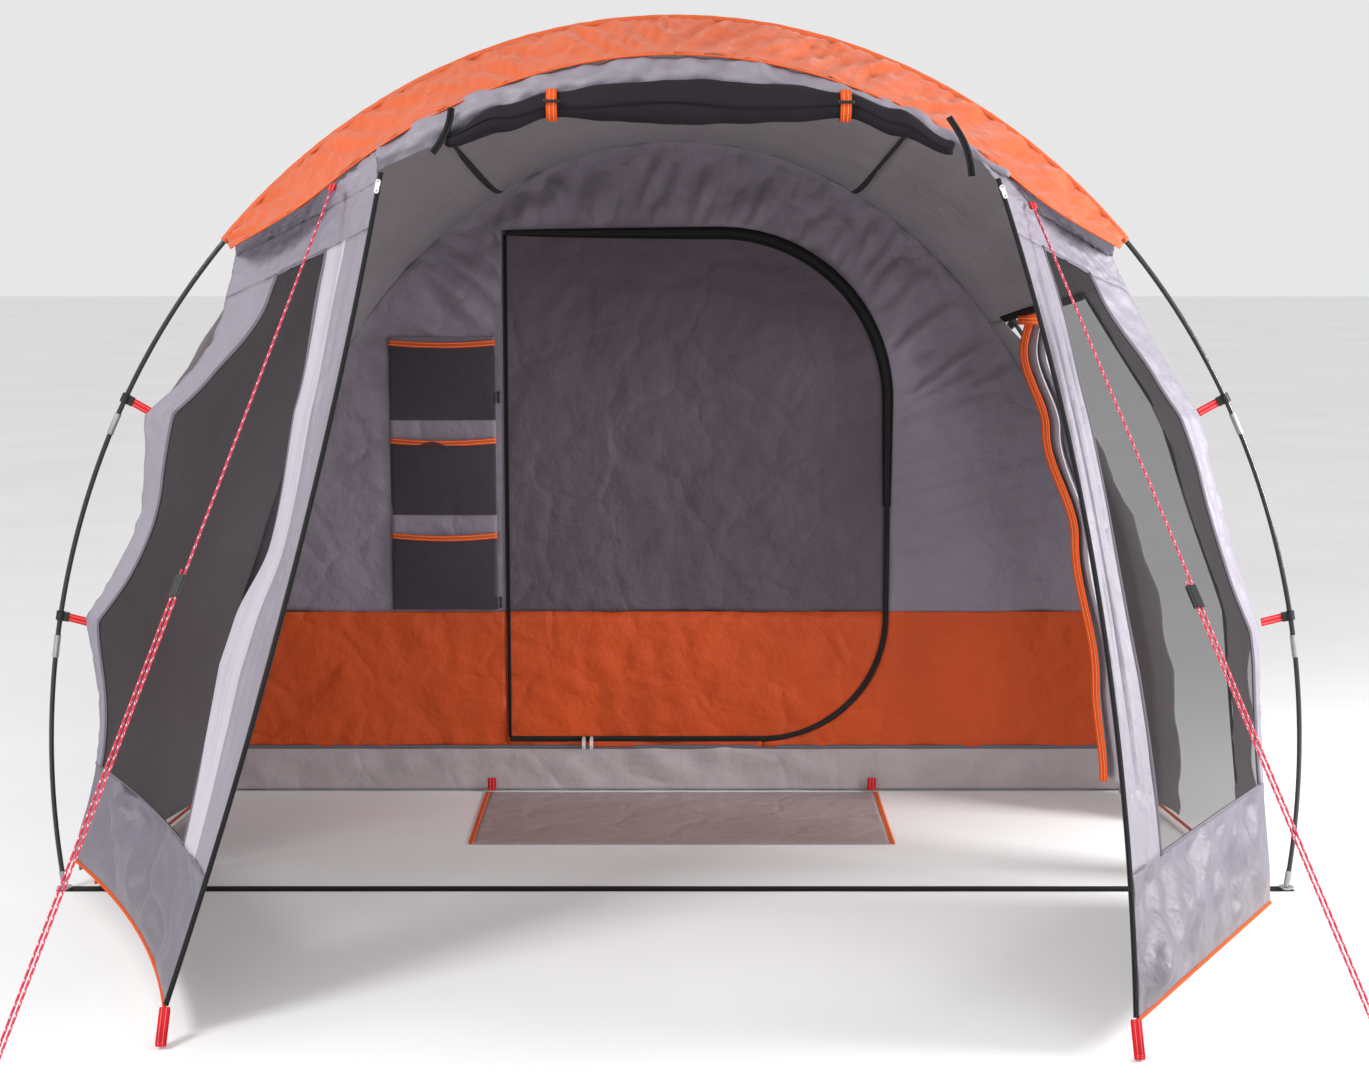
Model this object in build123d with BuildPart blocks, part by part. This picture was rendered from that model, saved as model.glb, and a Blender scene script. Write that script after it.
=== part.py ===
"""Dome tent: two crossing poles over the sleeping cabin, a third hoop over the porch.

Millimetres, +Z up. The origin is on the ground, under the middle of the porch hoop's
ground strap. +Y runs back into the cabin, the porch door faces -Y.
"""
import os
from math import asin, cos, degrees, pi, radians, sin, sqrt

from build123d import *

# ---- driving dimensions -------------------------------------------------------------
hoop_half_width = 1380.0      # porch hoop: an ellipse whose centre stands above the ground
hoop_rise = 1628.0
hoop_centre_z = 272.0
fly_gap = 60.0                # the fly hangs this far inside the hoop at the sides
cabin_half_width = 1200.0     # plan rectangle of the two crossing poles
cabin_half_depth = 1050.0
cabin_middle_y = 1900.0
cabin_height = 1745.0
pole_radius = 5.5
pole_bore_radius = 3.6
ferrule_radius = 7.0
ferrule_length = 50.0
sleeve_radius = 9.5
fly_thickness = 3.0
inner_thickness = 3.0
band_end_angle = 45.5         # the orange band covers the hoop between this angle and its mirror
inner_front_y = 900.0
inner_half_width = 1170.0
inner_height = 1678.0
inner_back_half_width = 1130.0
inner_back_half_depth = 970.0
inner_back_height = 1655.0
tub_height = 118.0
skirt_top = 475.0             # top of the orange band on the cabin's front wall
door_left, door_right = -441.0, 546.0
door_bottom, door_top = 133.0, 1452.0
door_top_radius, door_bottom_radius = 435.0, 325.0
door_gap = 1.0
zip_width = 14.0
mat_width, mat_depth, mat_thickness = 1020.0, 500.0, 3.0
mat_back_y = 872.0
mat_middle_x = 13.0
strap_width, strap_thickness = 36.0, 2.5
rope_diameter = 5.0
roof_seam_angle = 68.0        # seam between the porch's roof and each side
ferrule_angles = [9.9, 28.2, 47.6, 68.7]
clip_angles = [12.3, 30.4]
hoop_foot_angle = -9.2
pole_foot_angle = 1.0
zip_top_left = Vector(-583, -350, 1572)
zip_foot_left = Vector(-923, -962, 62)
zip_top_right = Vector(643, -350, 1560)
zip_foot_right = Vector(828, -1022, 60)
zip_bow = {-1: 30.0, 1: 60.0}   # how far each door zip curves to the right of a straight line
skirt_corner_right = Vector(1285, -160, 20)
guy_top_left = Vector(-695, -272, 1536)
guy_foot_left = Vector(-1133, -1400, 30)
guy_top_right = Vector(728, -272, 1500)
guy_foot_right = Vector(1212, -1400, 30)
runner_share = 0.48           # how far down the guyline the runner sits

os.makedirs("parts", exist_ok=True)


def finish(builder, name):
    """Label one sub-part and write it as its own STEP file."""
    builder.part.label = name
    export_step(builder.part, f"parts/{name}.step")


# ---- surfaces -----------------------------------------------------------------------
def hoop_angle(angle):
    """Angle on the hoop's ellipse that shares a seam with an angle on the cabin's arch."""
    return hoop_foot_angle + angle * (90.0 - hoop_foot_angle) / 90.0


def mirrored(angle, curve):
    """Read a curve given for 0 to 90 degrees on both sides of the tent."""
    if angle <= 90.0:
        return curve(angle)
    point = curve(180.0 - angle)
    return Vector(-point.X, point.Y, point.Z)


def hoop_edge(angle):
    """Front edge of the porch roof, inside the hoop."""
    turn = radians(hoop_angle(angle))
    inset = fly_gap - 40.0 * sin(radians(angle)) ** 2
    return Vector((hoop_half_width - inset) * cos(turn), 12.0,
                  hoop_centre_z + (hoop_rise - inset) * sin(turn))


def pole_edge(angle):
    """The fly's seam under one front half of a crossing pole."""
    turn = radians(angle)
    return Vector(cabin_half_width * cos(turn), cabin_middle_y - cabin_half_depth * cos(turn),
                  cabin_height * sin(turn))


def porch_roof(angle, share):
    """Saddle between the hoop (share 0) and the crossing poles (share 1)."""
    front = mirrored(angle, hoop_edge)
    back = mirrored(angle, pole_edge)
    turn = radians(angle)
    sag = 120.0 * sin(turn) ** 2 * 4.0 * share * (1.0 - share)
    return front * (1.0 - share) + back * share - Vector(cos(turn), 0, sin(turn)) * sag


def side_gore(side, angle, across):
    """Side of the dome between a front and a rear half pole; across runs -1 to 1."""
    turn = radians(angle)
    reach = cabin_half_width * cos(turn) - 45.0 * (1.0 - across ** 2) * cos(turn)
    return Vector(side * reach, cabin_middle_y + across * cabin_half_depth * cos(turn),
                  cabin_height * sin(turn))


def rear_gore(angle, across):
    """Back of the dome between the two rear half poles."""
    turn = radians(angle)
    depth = cabin_half_depth * cos(turn) - 45.0 * (1.0 - across ** 2) * cos(turn)
    return Vector(across * cabin_half_width * cos(turn), cabin_middle_y + depth,
                  cabin_height * sin(turn))


def inner_roof(angle, share):
    """Front half of the cabin's inner tent, from its front arch to the pole line."""
    turn = radians(angle)
    front = Vector(inner_half_width * cos(turn), inner_front_y + 4.0, inner_height * sin(turn))
    back = Vector(inner_back_half_width * cos(turn),
                  cabin_middle_y - inner_back_half_depth * abs(cos(turn)),
                  inner_back_height * sin(turn))
    return front * (1.0 - share) + back * share


def inner_side(side, angle, across):
    turn = radians(angle)
    return Vector(side * (inner_back_half_width - 40.0 * (1.0 - across ** 2)) * cos(turn),
                  cabin_middle_y + across * inner_back_half_depth * cos(turn),
                  inner_back_height * sin(turn))


def inner_rear(angle, across):
    turn = radians(angle)
    depth = (inner_back_half_depth - 40.0 * (1.0 - across ** 2)) * cos(turn)
    return Vector(across * inner_back_half_width * cos(turn), cabin_middle_y + depth,
                  inner_back_height * sin(turn))


def band_surface(angle, share):
    """Orange band: from the hoop's sleeve (share 0) forward and down (share 1)."""
    turn = radians(angle)
    open_up = min(1.0, (90.0 - abs(90.0 - angle) - band_end_angle) / 11.0)
    depth = 70.0 + 150.0 * sin(open_up * pi / 2.0)
    drop = 0.018 + 0.047 * sin(open_up * pi / 2.0) - 0.010 * sin(turn) ** 8
    scale = 1.0 - drop * share
    return Vector(scale * hoop_half_width * cos(turn), -sleeve_radius - depth * share,
                  hoop_centre_z + scale * hoop_rise * sin(turn))


def panel_edge(side, rise, inset, scallop):
    """Outer edge of a front panel: drawn in between the foot, the two clips and the band."""
    turn = radians(-7.4 + 53.4 * rise)
    between_clips = abs(sin(pi * 3.0 * (rise - 0.042 * sin(pi * rise))))
    inset += 30.0 * sin(pi * rise) + scallop * between_clips
    return Vector(side * (hoop_half_width - inset) * cos(turn), -16.0 - 8.0 * rise,
                  hoop_centre_z + (hoop_rise - inset) * sin(turn) + 10.0 * (1.0 - rise))


def panel_outer(side, rise):
    """Outer edge from the foot (0) to the band (1); on the right the foot stands forward."""
    if side < 0:
        return panel_edge(side, rise, 34.0, 60.0)
    foot = skirt_corner_right - panel_edge(side, 0.0, 44.0, 22.0)
    return panel_edge(side, rise, 44.0, 22.0) + foot * (1.0 - rise) ** 3


def zip_arc(side):
    """Centre, radius, chord direction, bow direction and half angle of a door zip's arc."""
    foot, top = (zip_foot_left, zip_top_left) if side < 0 else (zip_foot_right, zip_top_right)
    chord = (top - foot).normalized()
    bow_way = (Vector(1, 0, 0) - chord * chord.X).normalized()
    half = (top - foot).length / 2.0
    radius = (half ** 2 + zip_bow[side] ** 2) / (2.0 * zip_bow[side])
    centre = (foot + top) / 2.0 - bow_way * (radius - zip_bow[side])
    return centre, radius, chord, bow_way, asin(half / radius)


def zip_line(side, rise):
    """Zip edge of a front panel, from its foot (0) to its top (1)."""
    centre, radius, chord, bow_way, half_angle = zip_arc(side)
    turn = (2.0 * rise - 1.0) * half_angle
    return centre + (bow_way * cos(turn) + chord * sin(turn)) * radius


def zip_frame(side, rise):
    """Unit vectors up along the zip and across it, to the right."""
    _, _, chord, bow_way, half_angle = zip_arc(side)
    turn = (2.0 * rise - 1.0) * half_angle
    return chord * cos(turn) - bow_way * sin(turn), bow_way * cos(turn) + chord * sin(turn)


def front_panel(side, across, rise):
    """Front panel: across runs from the hoop (0) to the zip (1), rise from hem to band."""
    outer = panel_outer(side, rise)
    inner = zip_line(side, rise)
    hollow = Vector(0, 45.0, 0) * (4.0 * across * (1.0 - across) * rise)
    return outer * (1.0 - across) + inner * across + hollow


def patch(surface, first, second, first_steps=6, second_steps=6):
    """One smooth face through a grid of points on a surface formula."""
    rows = []
    for i in range(first_steps + 1):
        a = first[0] + (first[1] - first[0]) * i / first_steps
        rows.append([surface(a, second[0] + (second[1] - second[0]) * j / second_steps)
                     for j in range(second_steps + 1)])
    return Face.make_surface_from_array_of_points(rows)


def cloth(name, patches, thickness=fly_thickness):
    """A sewn panel: each patch thickened into one closed solid of the same node."""
    with BuildPart() as panel:
        for face in patches:
            thicken(face, amount=thickness)
    finish(panel, name)


# ---- poles --------------------------------------------------------------------------
hoop_plane = Plane(origin=(0, 0, hoop_centre_z), x_dir=(1, 0, 0), z_dir=(0, -1, 0))
diagonal = sqrt(cabin_half_width ** 2 + cabin_half_depth ** 2)


def pole_plane(side):
    """Vertical plane of one crossing pole; side +1 runs from front left to rear right."""
    x_dir = Vector(side * cabin_half_width, cabin_half_depth, 0).normalized()
    return Plane(origin=(0, cabin_middle_y, 0), x_dir=x_dir, z_dir=x_dir.cross(Vector(0, 0, 1)))


def arc_on(plane, radii, start, end):
    """Elliptical centre line between two angles on a pole's plane."""
    with BuildLine(plane) as path:
        EllipticalCenterArc((0, 0), radii[0], radii[1], start, arc_size=end - start)
    return path.line


def tube(path, outer, bore):
    """Round tube, or a rod when the bore is 0, swept along a centre line."""
    with BuildSketch(Plane(origin=path @ 0, z_dir=path % 0)) as ring:
        Circle(outer)
        if bore > 0:
            Circle(bore, mode=Mode.SUBTRACT)
    sweep(sections=ring.sketch, path=path)


hoop_radii = (hoop_half_width, hoop_rise)
pole_a_radii = (diagonal + 22.0, cabin_height + 16.0)
pole_b_radii = (diagonal + 22.0, cabin_height + 31.0)
half_ferrule = degrees(ferrule_length / 2.0 / hoop_rise)
joint_gap = 0.02


def sections(name, plane, radii, foot, joints):
    """One folding pole's hollow fibreglass sections, end to end."""
    stops = [foot] + joints + [180.0 - foot]
    with BuildPart() as pole:
        for low, high in zip(stops[:-1], stops[1:]):
            tube(arc_on(plane, radii, low + joint_gap, high - joint_gap),
                 pole_radius, pole_bore_radius)
    finish(pole, name)


hoop_joints = ferrule_angles + [90.0] + [180.0 - a for a in reversed(ferrule_angles)]
cabin_joints = [18.0 * k for k in range(1, 10)]
poles = {"hoop_sections": (hoop_plane, hoop_radii, hoop_foot_angle, hoop_joints),
         "pole_a_sections": (pole_plane(1), pole_a_radii, pole_foot_angle, cabin_joints),
         "pole_b_sections": (pole_plane(-1), pole_b_radii, pole_foot_angle, cabin_joints)}
for pole_name, (plane, radii, foot, joints) in poles.items():
    sections(pole_name, plane, radii, foot, joints)

# metal collars outside each joint between two sections
with BuildPart() as ferrules:
    for plane, radii, foot, joints in poles.values():
        for angle in joints:
            tube(arc_on(plane, radii, angle - half_ferrule, angle + half_ferrule),
                 ferrule_radius, pole_radius + 0.1)
finish(ferrules, "pole_ferrules")

# elastic cord inside each pole, drawn as one length per section
with BuildPart() as cords:
    for plane, radii, foot, joints in poles.values():
        stops = [foot + 3.0] + joints + [177.0 - foot]
        for low, high in zip(stops[:-1], stops[1:]):
            tube(arc_on(plane, radii, low, high), 1.4, 0)
finish(cords, "shock_cords")


# pole ends: a metal collar over each end and a steel pin up its bore, which stands on a flat
# ring on the ground
with BuildPart() as ends:
    for plane, radii, foot, joints in poles.values():
        for low, high in ((foot, foot + 1.1), (178.9 - foot, 180.0 - foot)):
            tube(arc_on(plane, radii, low, high), ferrule_radius, pole_radius + 0.1)
        for low, high in ((foot - 0.25, foot + 2.2), (177.8 - foot, 180.25 - foot)):
            tube(arc_on(plane, radii, low, high), 3.3, 0)
        for end in (foot - 0.25, 180.25 - foot):
            turn = radians(end)
            base = plane.from_local_coords(Vector(radii[0] * cos(turn), radii[1] * sin(turn), 0))
            with BuildSketch(Plane.XY.offset(strap_thickness + 0.3)) as ring:
                with Locations((base.X, base.Y)):
                    Circle(17.0)
                    Circle(2.5, mode=Mode.SUBTRACT)
            extrude(ring.sketch, amount=4.0)
finish(ends, "pole_ends")

# webbing on the ground: a strap between the hoop's feet and a tab under each cabin corner
hoop_foot_x = hoop_half_width * cos(radians(hoop_foot_angle))
with BuildPart() as straps:
    with BuildSketch(Plane.XY) as long_strap:
        Rectangle(2.0 * hoop_foot_x + 30.0, strap_width)
    extrude(long_strap.sketch, amount=strap_thickness)
    for x_side in (-1, 1):
        for y_side in (-1, 1):
            with BuildSketch(Plane.XY) as tab:
                with Locations(Location((x_side * (cabin_half_width - 8.0),
                                         cabin_middle_y + y_side * (cabin_half_depth - 8.0), 0),
                                        (0, 0, 41.0 * x_side * y_side))):
                    Rectangle(88.0, 25.0)
            extrude(tab.sketch, amount=strap_thickness)
finish(straps, "ground_straps")


# ---- pole clips ---------------------------------------------------------------------
def clip_plane(plane, radii, angle):
    """At a pole's centre line: X points in towards the fly, Z along the pole."""
    turn = radians(angle)
    centre = plane.from_local_coords(Vector(radii[0] * cos(turn), radii[1] * sin(turn), 0))
    along = plane.from_local_coords(Vector(-radii[0] * sin(turn), radii[1] * cos(turn), 0)) - plane.origin
    along = along.normalized()
    inward = plane.z_dir.cross(along).normalized()
    return Plane(origin=centre, x_dir=inward, z_dir=along)


def clip_hook(place):
    """Moulded hook round the pole with a bar for its webbing."""
    with BuildSketch(place.offset(-10.0)) as hook:
        Circle(9.5)
        with Locations((12.5, 0)):
            Rectangle(12.0, 9.0)
        Circle(ferrule_radius + 0.3, mode=Mode.SUBTRACT)
        with Locations((-9.0, 4.5)):
            Rectangle(8.0, 6.0, mode=Mode.SUBTRACT)
    extrude(hook.sketch, amount=20.0)


def clip_webbing(place):
    """Short tape from the clip's bar in and forward to the front panel's edge."""
    with BuildSketch(place.offset(-9.0)) as tape:
        Polygon((18.8, -1.0), (60.0, 12.5), (60.0, 14.5), (18.8, 1.0), align=None)
    extrude(tape.sketch, amount=18.0)


hoop_clips = [(hoop_plane, hoop_radii, a) for half in clip_angles for a in (half, 180.0 - half)]
cabin_clips = [(pole_plane(s), r, a) for s, r in ((1, pole_a_radii), (-1, pole_b_radii))
               for a in (12.0, 27.0, 43.0, 62.0, 118.0, 137.0, 153.0, 168.0)]
with BuildPart() as clips:
    for plane, radii, angle in hoop_clips + cabin_clips:
        clip_hook(clip_plane(plane, radii, angle))
finish(clips, "pole_clips")
with BuildPart() as tapes:
    for plane, radii, angle in hoop_clips:
        clip_webbing(clip_plane(plane, radii, angle))
finish(tapes, "clip_webbing")

# ---- fly ----------------------------------------------------------------------------
# sleeve round the top of the hoop
with BuildPart() as sleeve:
    for low, high in ((band_end_angle, 66.0), (66.2, 89.9), (90.1, 113.8), (114.0, 180.0 - band_end_angle)):
        tube(arc_on(hoop_plane, hoop_radii, low, high), sleeve_radius, ferrule_radius + 0.5)
finish(sleeve, "hoop_sleeve")

band_parts = [(46.0, 58.0), (58.2, 73.9), (74.1, 89.9), (90.1, 105.9), (106.1, 121.8), (122.0, 134.0)]
cloth("orange_band", [patch(band_surface, span, (0.0, 1.0), 6, 3) for span in band_parts])

gap = 0.15
roof_cuts = [roof_seam_angle, 79.0, 90.0, 101.0, 180.0 - roof_seam_angle]
cloth("porch_roof", [patch(porch_roof, (a + gap, b - gap), (0.0, 0.995), 4, 8)
                     for a, b in zip(roof_cuts[:-1], roof_cuts[1:])])
side_cuts = [0.6, 22.0, 45.0, roof_seam_angle]
cloth("porch_side_left", [patch(porch_roof, (180.0 - a - gap, 180.0 - b + gap), (0.0, 0.984), 5, 6)
                          for a, b in zip(side_cuts[:-1], side_cuts[1:])])

# the right side has its own doorway, so its cloth runs round three sides of it
side_door_angles = (4.0, 47.0)
side_door_shares = (0.16, 0.64)
cloth("porch_side_right", [
    patch(porch_roof, (0.6, 24.0), (0.0, side_door_shares[0]), 5, 3),
    patch(porch_roof, (24.3, side_door_angles[1]), (0.0, side_door_shares[0]), 5, 3),
    patch(porch_roof, (0.6, 24.0), (side_door_shares[1], 0.99), 5, 4),
    patch(porch_roof, (24.3, side_door_angles[1]), (side_door_shares[1], 0.99), 5, 4),
    patch(porch_roof, (side_door_angles[1] + gap, roof_seam_angle - gap), (0.0, 0.99), 5, 6)])

gore_cuts = ((0.6, 28.0), (28.0, 57.0), (57.0, 87.0))
for side, side_name in ((-1, "left"), (1, "right")):
    def gore(angle, across, side=side):
        return side_gore(side, angle, across)
    cloth(f"cabin_side_{side_name}", [patch(gore, (a + gap, b - gap), (-0.985, 0.985), 5, 6)
                                      for a, b in gore_cuts])
cloth("cabin_rear", [patch(rear_gore, (a + gap, b - gap), (-0.985, 0.985), 5, 6)
                     for a, b in gore_cuts])

# reinforcing patch over the crossing
with BuildPart() as crown:
    with BuildSketch(Plane.XY.offset(cabin_height + 4.0)):
        with Locations((0, cabin_middle_y + 8.0)):
            RectangleRounded(96, 90, 24)
    extrude(amount=fly_thickness)
finish(crown, "crown_patch")


# ---- front panels with mesh windows -------------------------------------------------
window_across = (0.16, 0.70)
window_rise = {-1: (0.145, 0.93), 1: (0.155, 0.93)}
mesh_thickness = 1.5


def panel_patch(side, across, rise):
    """One patch of a front panel between two shares across and two shares of its height."""
    def surface(a, r):
        return front_panel(side, a, r)
    return patch(surface, across, rise, 4, 6)


windows = []
for side, side_name in ((-1, "left"), (1, "right")):
    low, high = window_rise[side]
    middle = (low + high) / 2.0
    outer_strip = (0.0, window_across[0])
    inner_strip = (window_across[1], 0.985)
    window = (window_across[0] + 0.002, window_across[1] - 0.002)
    cloth(f"front_panel_{side_name}",
          [panel_patch(side, (0.0, 0.985), (0.0, low)),
           panel_patch(side, outer_strip, (low + 0.001, middle)),
           panel_patch(side, outer_strip, (middle + 0.001, high)),
           panel_patch(side, inner_strip, (low + 0.001, middle)),
           panel_patch(side, inner_strip, (middle + 0.001, high)),
           panel_patch(side, (0.0, 0.985), (high + 0.001, 0.99))])
    windows += [panel_patch(side, window, (low + 0.002, middle)),
                panel_patch(side, window, (middle + 0.001, high - 0.001))]
cloth("mesh_windows", windows, mesh_thickness)

with BuildPart() as door_zips:
    for side in (-1, 1):
        with BuildLine() as path:
            ThreePointArc(zip_line(side, 0.003), zip_line(side, 0.5), zip_line(side, 1.0))
        run, across = zip_frame(side, 0.003)
        with BuildSketch(Plane(origin=path.line @ 0, x_dir=across, z_dir=run)) as section:
            Rectangle(zip_width, 4.0)
        sweep(sections=section.sketch, path=path.line)
finish(door_zips, "door_zips")

# bound edges along the ground: straight runs round the sides and back, a curve at each front panel
hem_z = 11.5
hem_radius = 4.0
front_corner = cabin_middle_y - cabin_half_depth
rear_corner = cabin_middle_y + cabin_half_depth
edge_x = cabin_half_width + 9.0
hem_runs = [[(side * 1296, 14), (side * edge_x, front_corner), (side * (edge_x - 40), cabin_middle_y),
             (side * edge_x, rear_corner)] for side in (-1, 1)]
hem_runs.append([(20 - cabin_half_width, rear_corner + 9), (0, rear_corner - 38),
                 (cabin_half_width - 20, rear_corner + 9)])
front_hems = ((panel_outer(-1, 0.0), Vector(-1115, -470, 18), zip_foot_left),
              (skirt_corner_right, Vector(1050, -560, 18), zip_foot_right))
with BuildPart() as hems:
    for corners in hem_runs:
        for (x0, y0), (x1, y1) in zip(corners[:-1], corners[1:]):
            start, end = Vector(x0, y0, hem_z), Vector(x1, y1, hem_z)
            run = (end - start).normalized()
            with BuildSketch(Plane(origin=start + run * 0.5, z_dir=run)) as section:
                Circle(hem_radius)
            extrude(section.sketch, amount=(end - start).length - 1.0)
    for start, middle_point, end in front_hems:
        lift = Vector(0, 0, -9.0)
        with BuildLine() as path:
            ThreePointArc(start + lift, middle_point, end + lift)
        tube(path.line, hem_radius, 0)
finish(hems, "hems")


def rope_frame(top, foot):
    """Unit vectors along a guyline and level across it."""
    along = (foot - top).normalized()
    return along, along.cross(Vector(0, 0, 1)).normalized()


guylines = {"left": (guy_top_left, guy_foot_left), "right": (guy_top_right, guy_foot_right)}

# webbing loops: two that hold the front corners down and two that the guylines start from
with BuildPart() as loops:
    for foot in (zip_foot_left, zip_foot_right):
        place = Plane(origin=foot + Vector(0, -24.0, -33.5), x_dir=(0, -0.62, -0.78), z_dir=(1, 0, 0))
        with BuildSketch(place.offset(-9.0)) as loop:
            SlotOverall(62.0, 14.0)
            SlotOverall(57.0, 9.0, mode=Mode.SUBTRACT)
        extrude(loop.sketch, amount=18.0)
    for top, foot in guylines.values():
        along, across = rope_frame(top, foot)
        with BuildSketch(Plane(origin=top - along * 9.3, x_dir=along, z_dir=across)) as loop:
            SlotOverall(18.0, 8.0)
            SlotOverall(14.0, 4.0, mode=Mode.SUBTRACT)
        extrude(loop.sketch, amount=7.0, both=True)
finish(loops, "webbing_loops")

# ---- rolled-up front door -----------------------------------------------------------
roll_y = -262.0
roll_sections = [(-460.0, 1638.0, 16.0), (-350.0, 1680.0, 30.0), (-247.0, 1708.0, 27.0),
                 (-120.0, 1712.0, 42.0), (40.0, 1712.0, 50.0), (220.0, 1710.0, 42.0),
                 (344.0, 1706.0, 27.0), (450.0, 1672.0, 30.0), (560.0, 1622.0, 16.0)]
with BuildPart() as door_roll:
    for x, z, radius in roll_sections:
        with BuildSketch(Plane(origin=(x, roll_y, z), x_dir=(0, 1, 0), z_dir=(1, 0, 0))):
            Circle(radius)
    loft()
finish(door_roll, "front_door_roll")

tie_places = [(-247.0, 1708.0), (344.0, 1706.0)]
tie_radius = 33.0
curtain_tie_place = (886.0, 653.0, 1225.0)
with BuildPart() as ties:
    for x, z in tie_places:
        with BuildSketch(Plane(origin=(x - 11.0, roll_y, z), x_dir=(0, 1, 0), z_dir=(1, 0, 0))) as ring:
            Circle(tie_radius)
            Circle(tie_radius - 2.5, mode=Mode.SUBTRACT)
        extrude(ring.sketch, amount=22.0)
    x, y, z = curtain_tie_place
    with BuildSketch(Plane.XY.offset(z)) as ring:
        with Locations((x, y)):
            Ellipse(56.0, 34.0)
            Ellipse(52.0, 30.0, mode=Mode.SUBTRACT)
    extrude(ring.sketch, amount=24.0)
finish(ties, "tie_loops")

hinge_x = door_left - door_gap
toggle_radius = 4.0
with BuildPart() as toggles:
    for x, z in tie_places:
        with Locations(Location((x, roll_y - tie_radius - 4.5, z + 6.0), (0, 90, 0))):
            Cylinder(toggle_radius, 34.0)
    for z in (1030.0, 500.0):
        with Locations((hinge_x - 12.0, inner_front_y - inner_thickness - 4.4, z)):
            Cylinder(toggle_radius, 30.0)
finish(toggles, "toggles")

# ---- side doorway: the gathered curtain hangs at its rear edge -----------------------
curtain_sections = [(1290.0, 902.0, 655.0, 26.0, 16.0), (1164.0, 884.0, 655.0, 32.0, 24.0),
                    (968.0, 948.0, 653.0, 38.0, 25.0), (700.0, 1030.0, 650.0, 43.0, 26.0),
                    (350.0, 1092.0, 640.0, 48.0, 28.0), (90.0, 1122.0, 635.0, 52.0, 30.0)]
with BuildPart() as curtain:
    for z, x, y, half_x, half_y in curtain_sections:
        with BuildSketch(Plane.XY.offset(z)):
            with Locations((x, y)):
                Ellipse(half_x, half_y)
    loft()
finish(curtain, "side_door_curtain")

hem_top_z, hem_top_x = 1250.0, 848.0
with BuildPart() as curtain_hem:
    for z, x, y, half_x, half_y in curtain_sections:
        hem_x = hem_top_x if z > hem_top_z else x - half_x - 9.0
        with BuildSketch(Plane.XY.offset(min(z, hem_top_z))):
            with Locations((hem_x, y - 4.0)):
                Ellipse(7.0, 12.0)
    loft()
finish(curtain_hem, "side_curtain_hem")

# ---- cabin: inner tent --------------------------------------------------------------
def door_outline(grow):
    """D-shaped door, grown outwards by the given amount."""
    width, height = door_right - door_left + 2.0 * grow, door_top - door_bottom + 2.0 * grow
    with BuildSketch() as outline:
        with Locations(((door_left + door_right) / 2.0, (door_bottom + door_top) / 2.0)):
            Rectangle(width, height)
        right = outline.vertices().group_by(Axis.X)[-1].sort_by(Axis.Y)
        fillet(right[1], door_top_radius + grow)
        low_right = outline.vertices().group_by(Axis.X)[-1].sort_by(Axis.Y)[0]
        fillet(low_right, door_bottom_radius + grow)
    return outline.sketch


wall_plane = Plane(origin=(0, inner_front_y, 0), x_dir=(1, 0, 0), z_dir=(0, -1, 0))
doorway = door_outline(door_gap)
arch_low = tub_height + 0.5


with BuildPart() as arch:
    with BuildSketch(wall_plane):
        Ellipse(inner_half_width - 2.0, inner_height - 2.0)
        add(doorway, mode=Mode.SUBTRACT)
    extrude(amount=inner_thickness)


def cut_from(sheet, plane, boxes):
    """Keep the parts of a flat sheet that lie inside the given x-z boxes."""
    add(sheet)
    with BuildSketch(plane) as windows:
        for x0, x1, z0, z1 in boxes:
            with Locations(((x0 + x1) / 2.0, (z0 + z1) / 2.0)):
                Rectangle(x1 - x0, z1 - z0)
    extrude(windows.sketch, amount=inner_thickness, mode=Mode.INTERSECT)


def wall_piece(name, boxes):
    """One panel of the cabin's front arch."""
    with BuildPart() as piece:
        cut_from(arch.part, wall_plane, boxes)
    finish(piece, name)


far = inner_half_width + 10.0
right_edge = door_right + door_gap
top_split = door_top + door_gap + 0.2
corner_z = door_top - door_top_radius
low_corner_z = door_bottom + door_bottom_radius
wall_split = 980.0
wall_piece("cabin_front_wall", [
    (-far, hinge_x - 0.2, skirt_top + 0.3, wall_split), (-far, hinge_x - 0.2, wall_split + 0.4, top_split),
    (right_edge + 0.2, far, skirt_top + 0.3, wall_split), (right_edge + 0.2, far, wall_split + 0.4, top_split),
    (door_right - door_top_radius, right_edge, corner_z, top_split),
    (-far, far, top_split + 0.3, inner_height)])
wall_piece("cabin_skirt", [
    (-far, hinge_x - 0.2, arch_low, skirt_top), (right_edge + 0.2, far, arch_low, skirt_top),
    (door_right - door_bottom_radius, right_edge, arch_low, low_corner_z),
    (hinge_x, door_right - door_bottom_radius - 0.3, arch_low, door_bottom - door_gap)])

inner_gore_cuts = ((4.2, 32.0), (32.0, 60.0), (60.0, 86.0))
inner_cuts = [4.2, 30.0, 60.0, 90.0, 120.0, 150.0, 175.8]
cloth("cabin_roof", [patch(inner_roof, (a + gap, b - gap), (0.0, 0.985), 5, 4)
                     for a, b in zip(inner_cuts[:-1], inner_cuts[1:])], inner_thickness)
side_patches = []
for side in (-1, 1):
    def inner_gore(angle, across, side=side):
        return inner_side(side, angle, across)
    side_patches += [patch(inner_gore, (a + gap, b - gap), (-0.98, 0.98), 5, 5) for a, b in inner_gore_cuts]
cloth("inner_sides", side_patches, inner_thickness)
cloth("inner_rear", [patch(inner_rear, (a + gap, b - gap), (-0.98, 0.98), 5, 5)
                     for a, b in inner_gore_cuts], inner_thickness)

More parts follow.
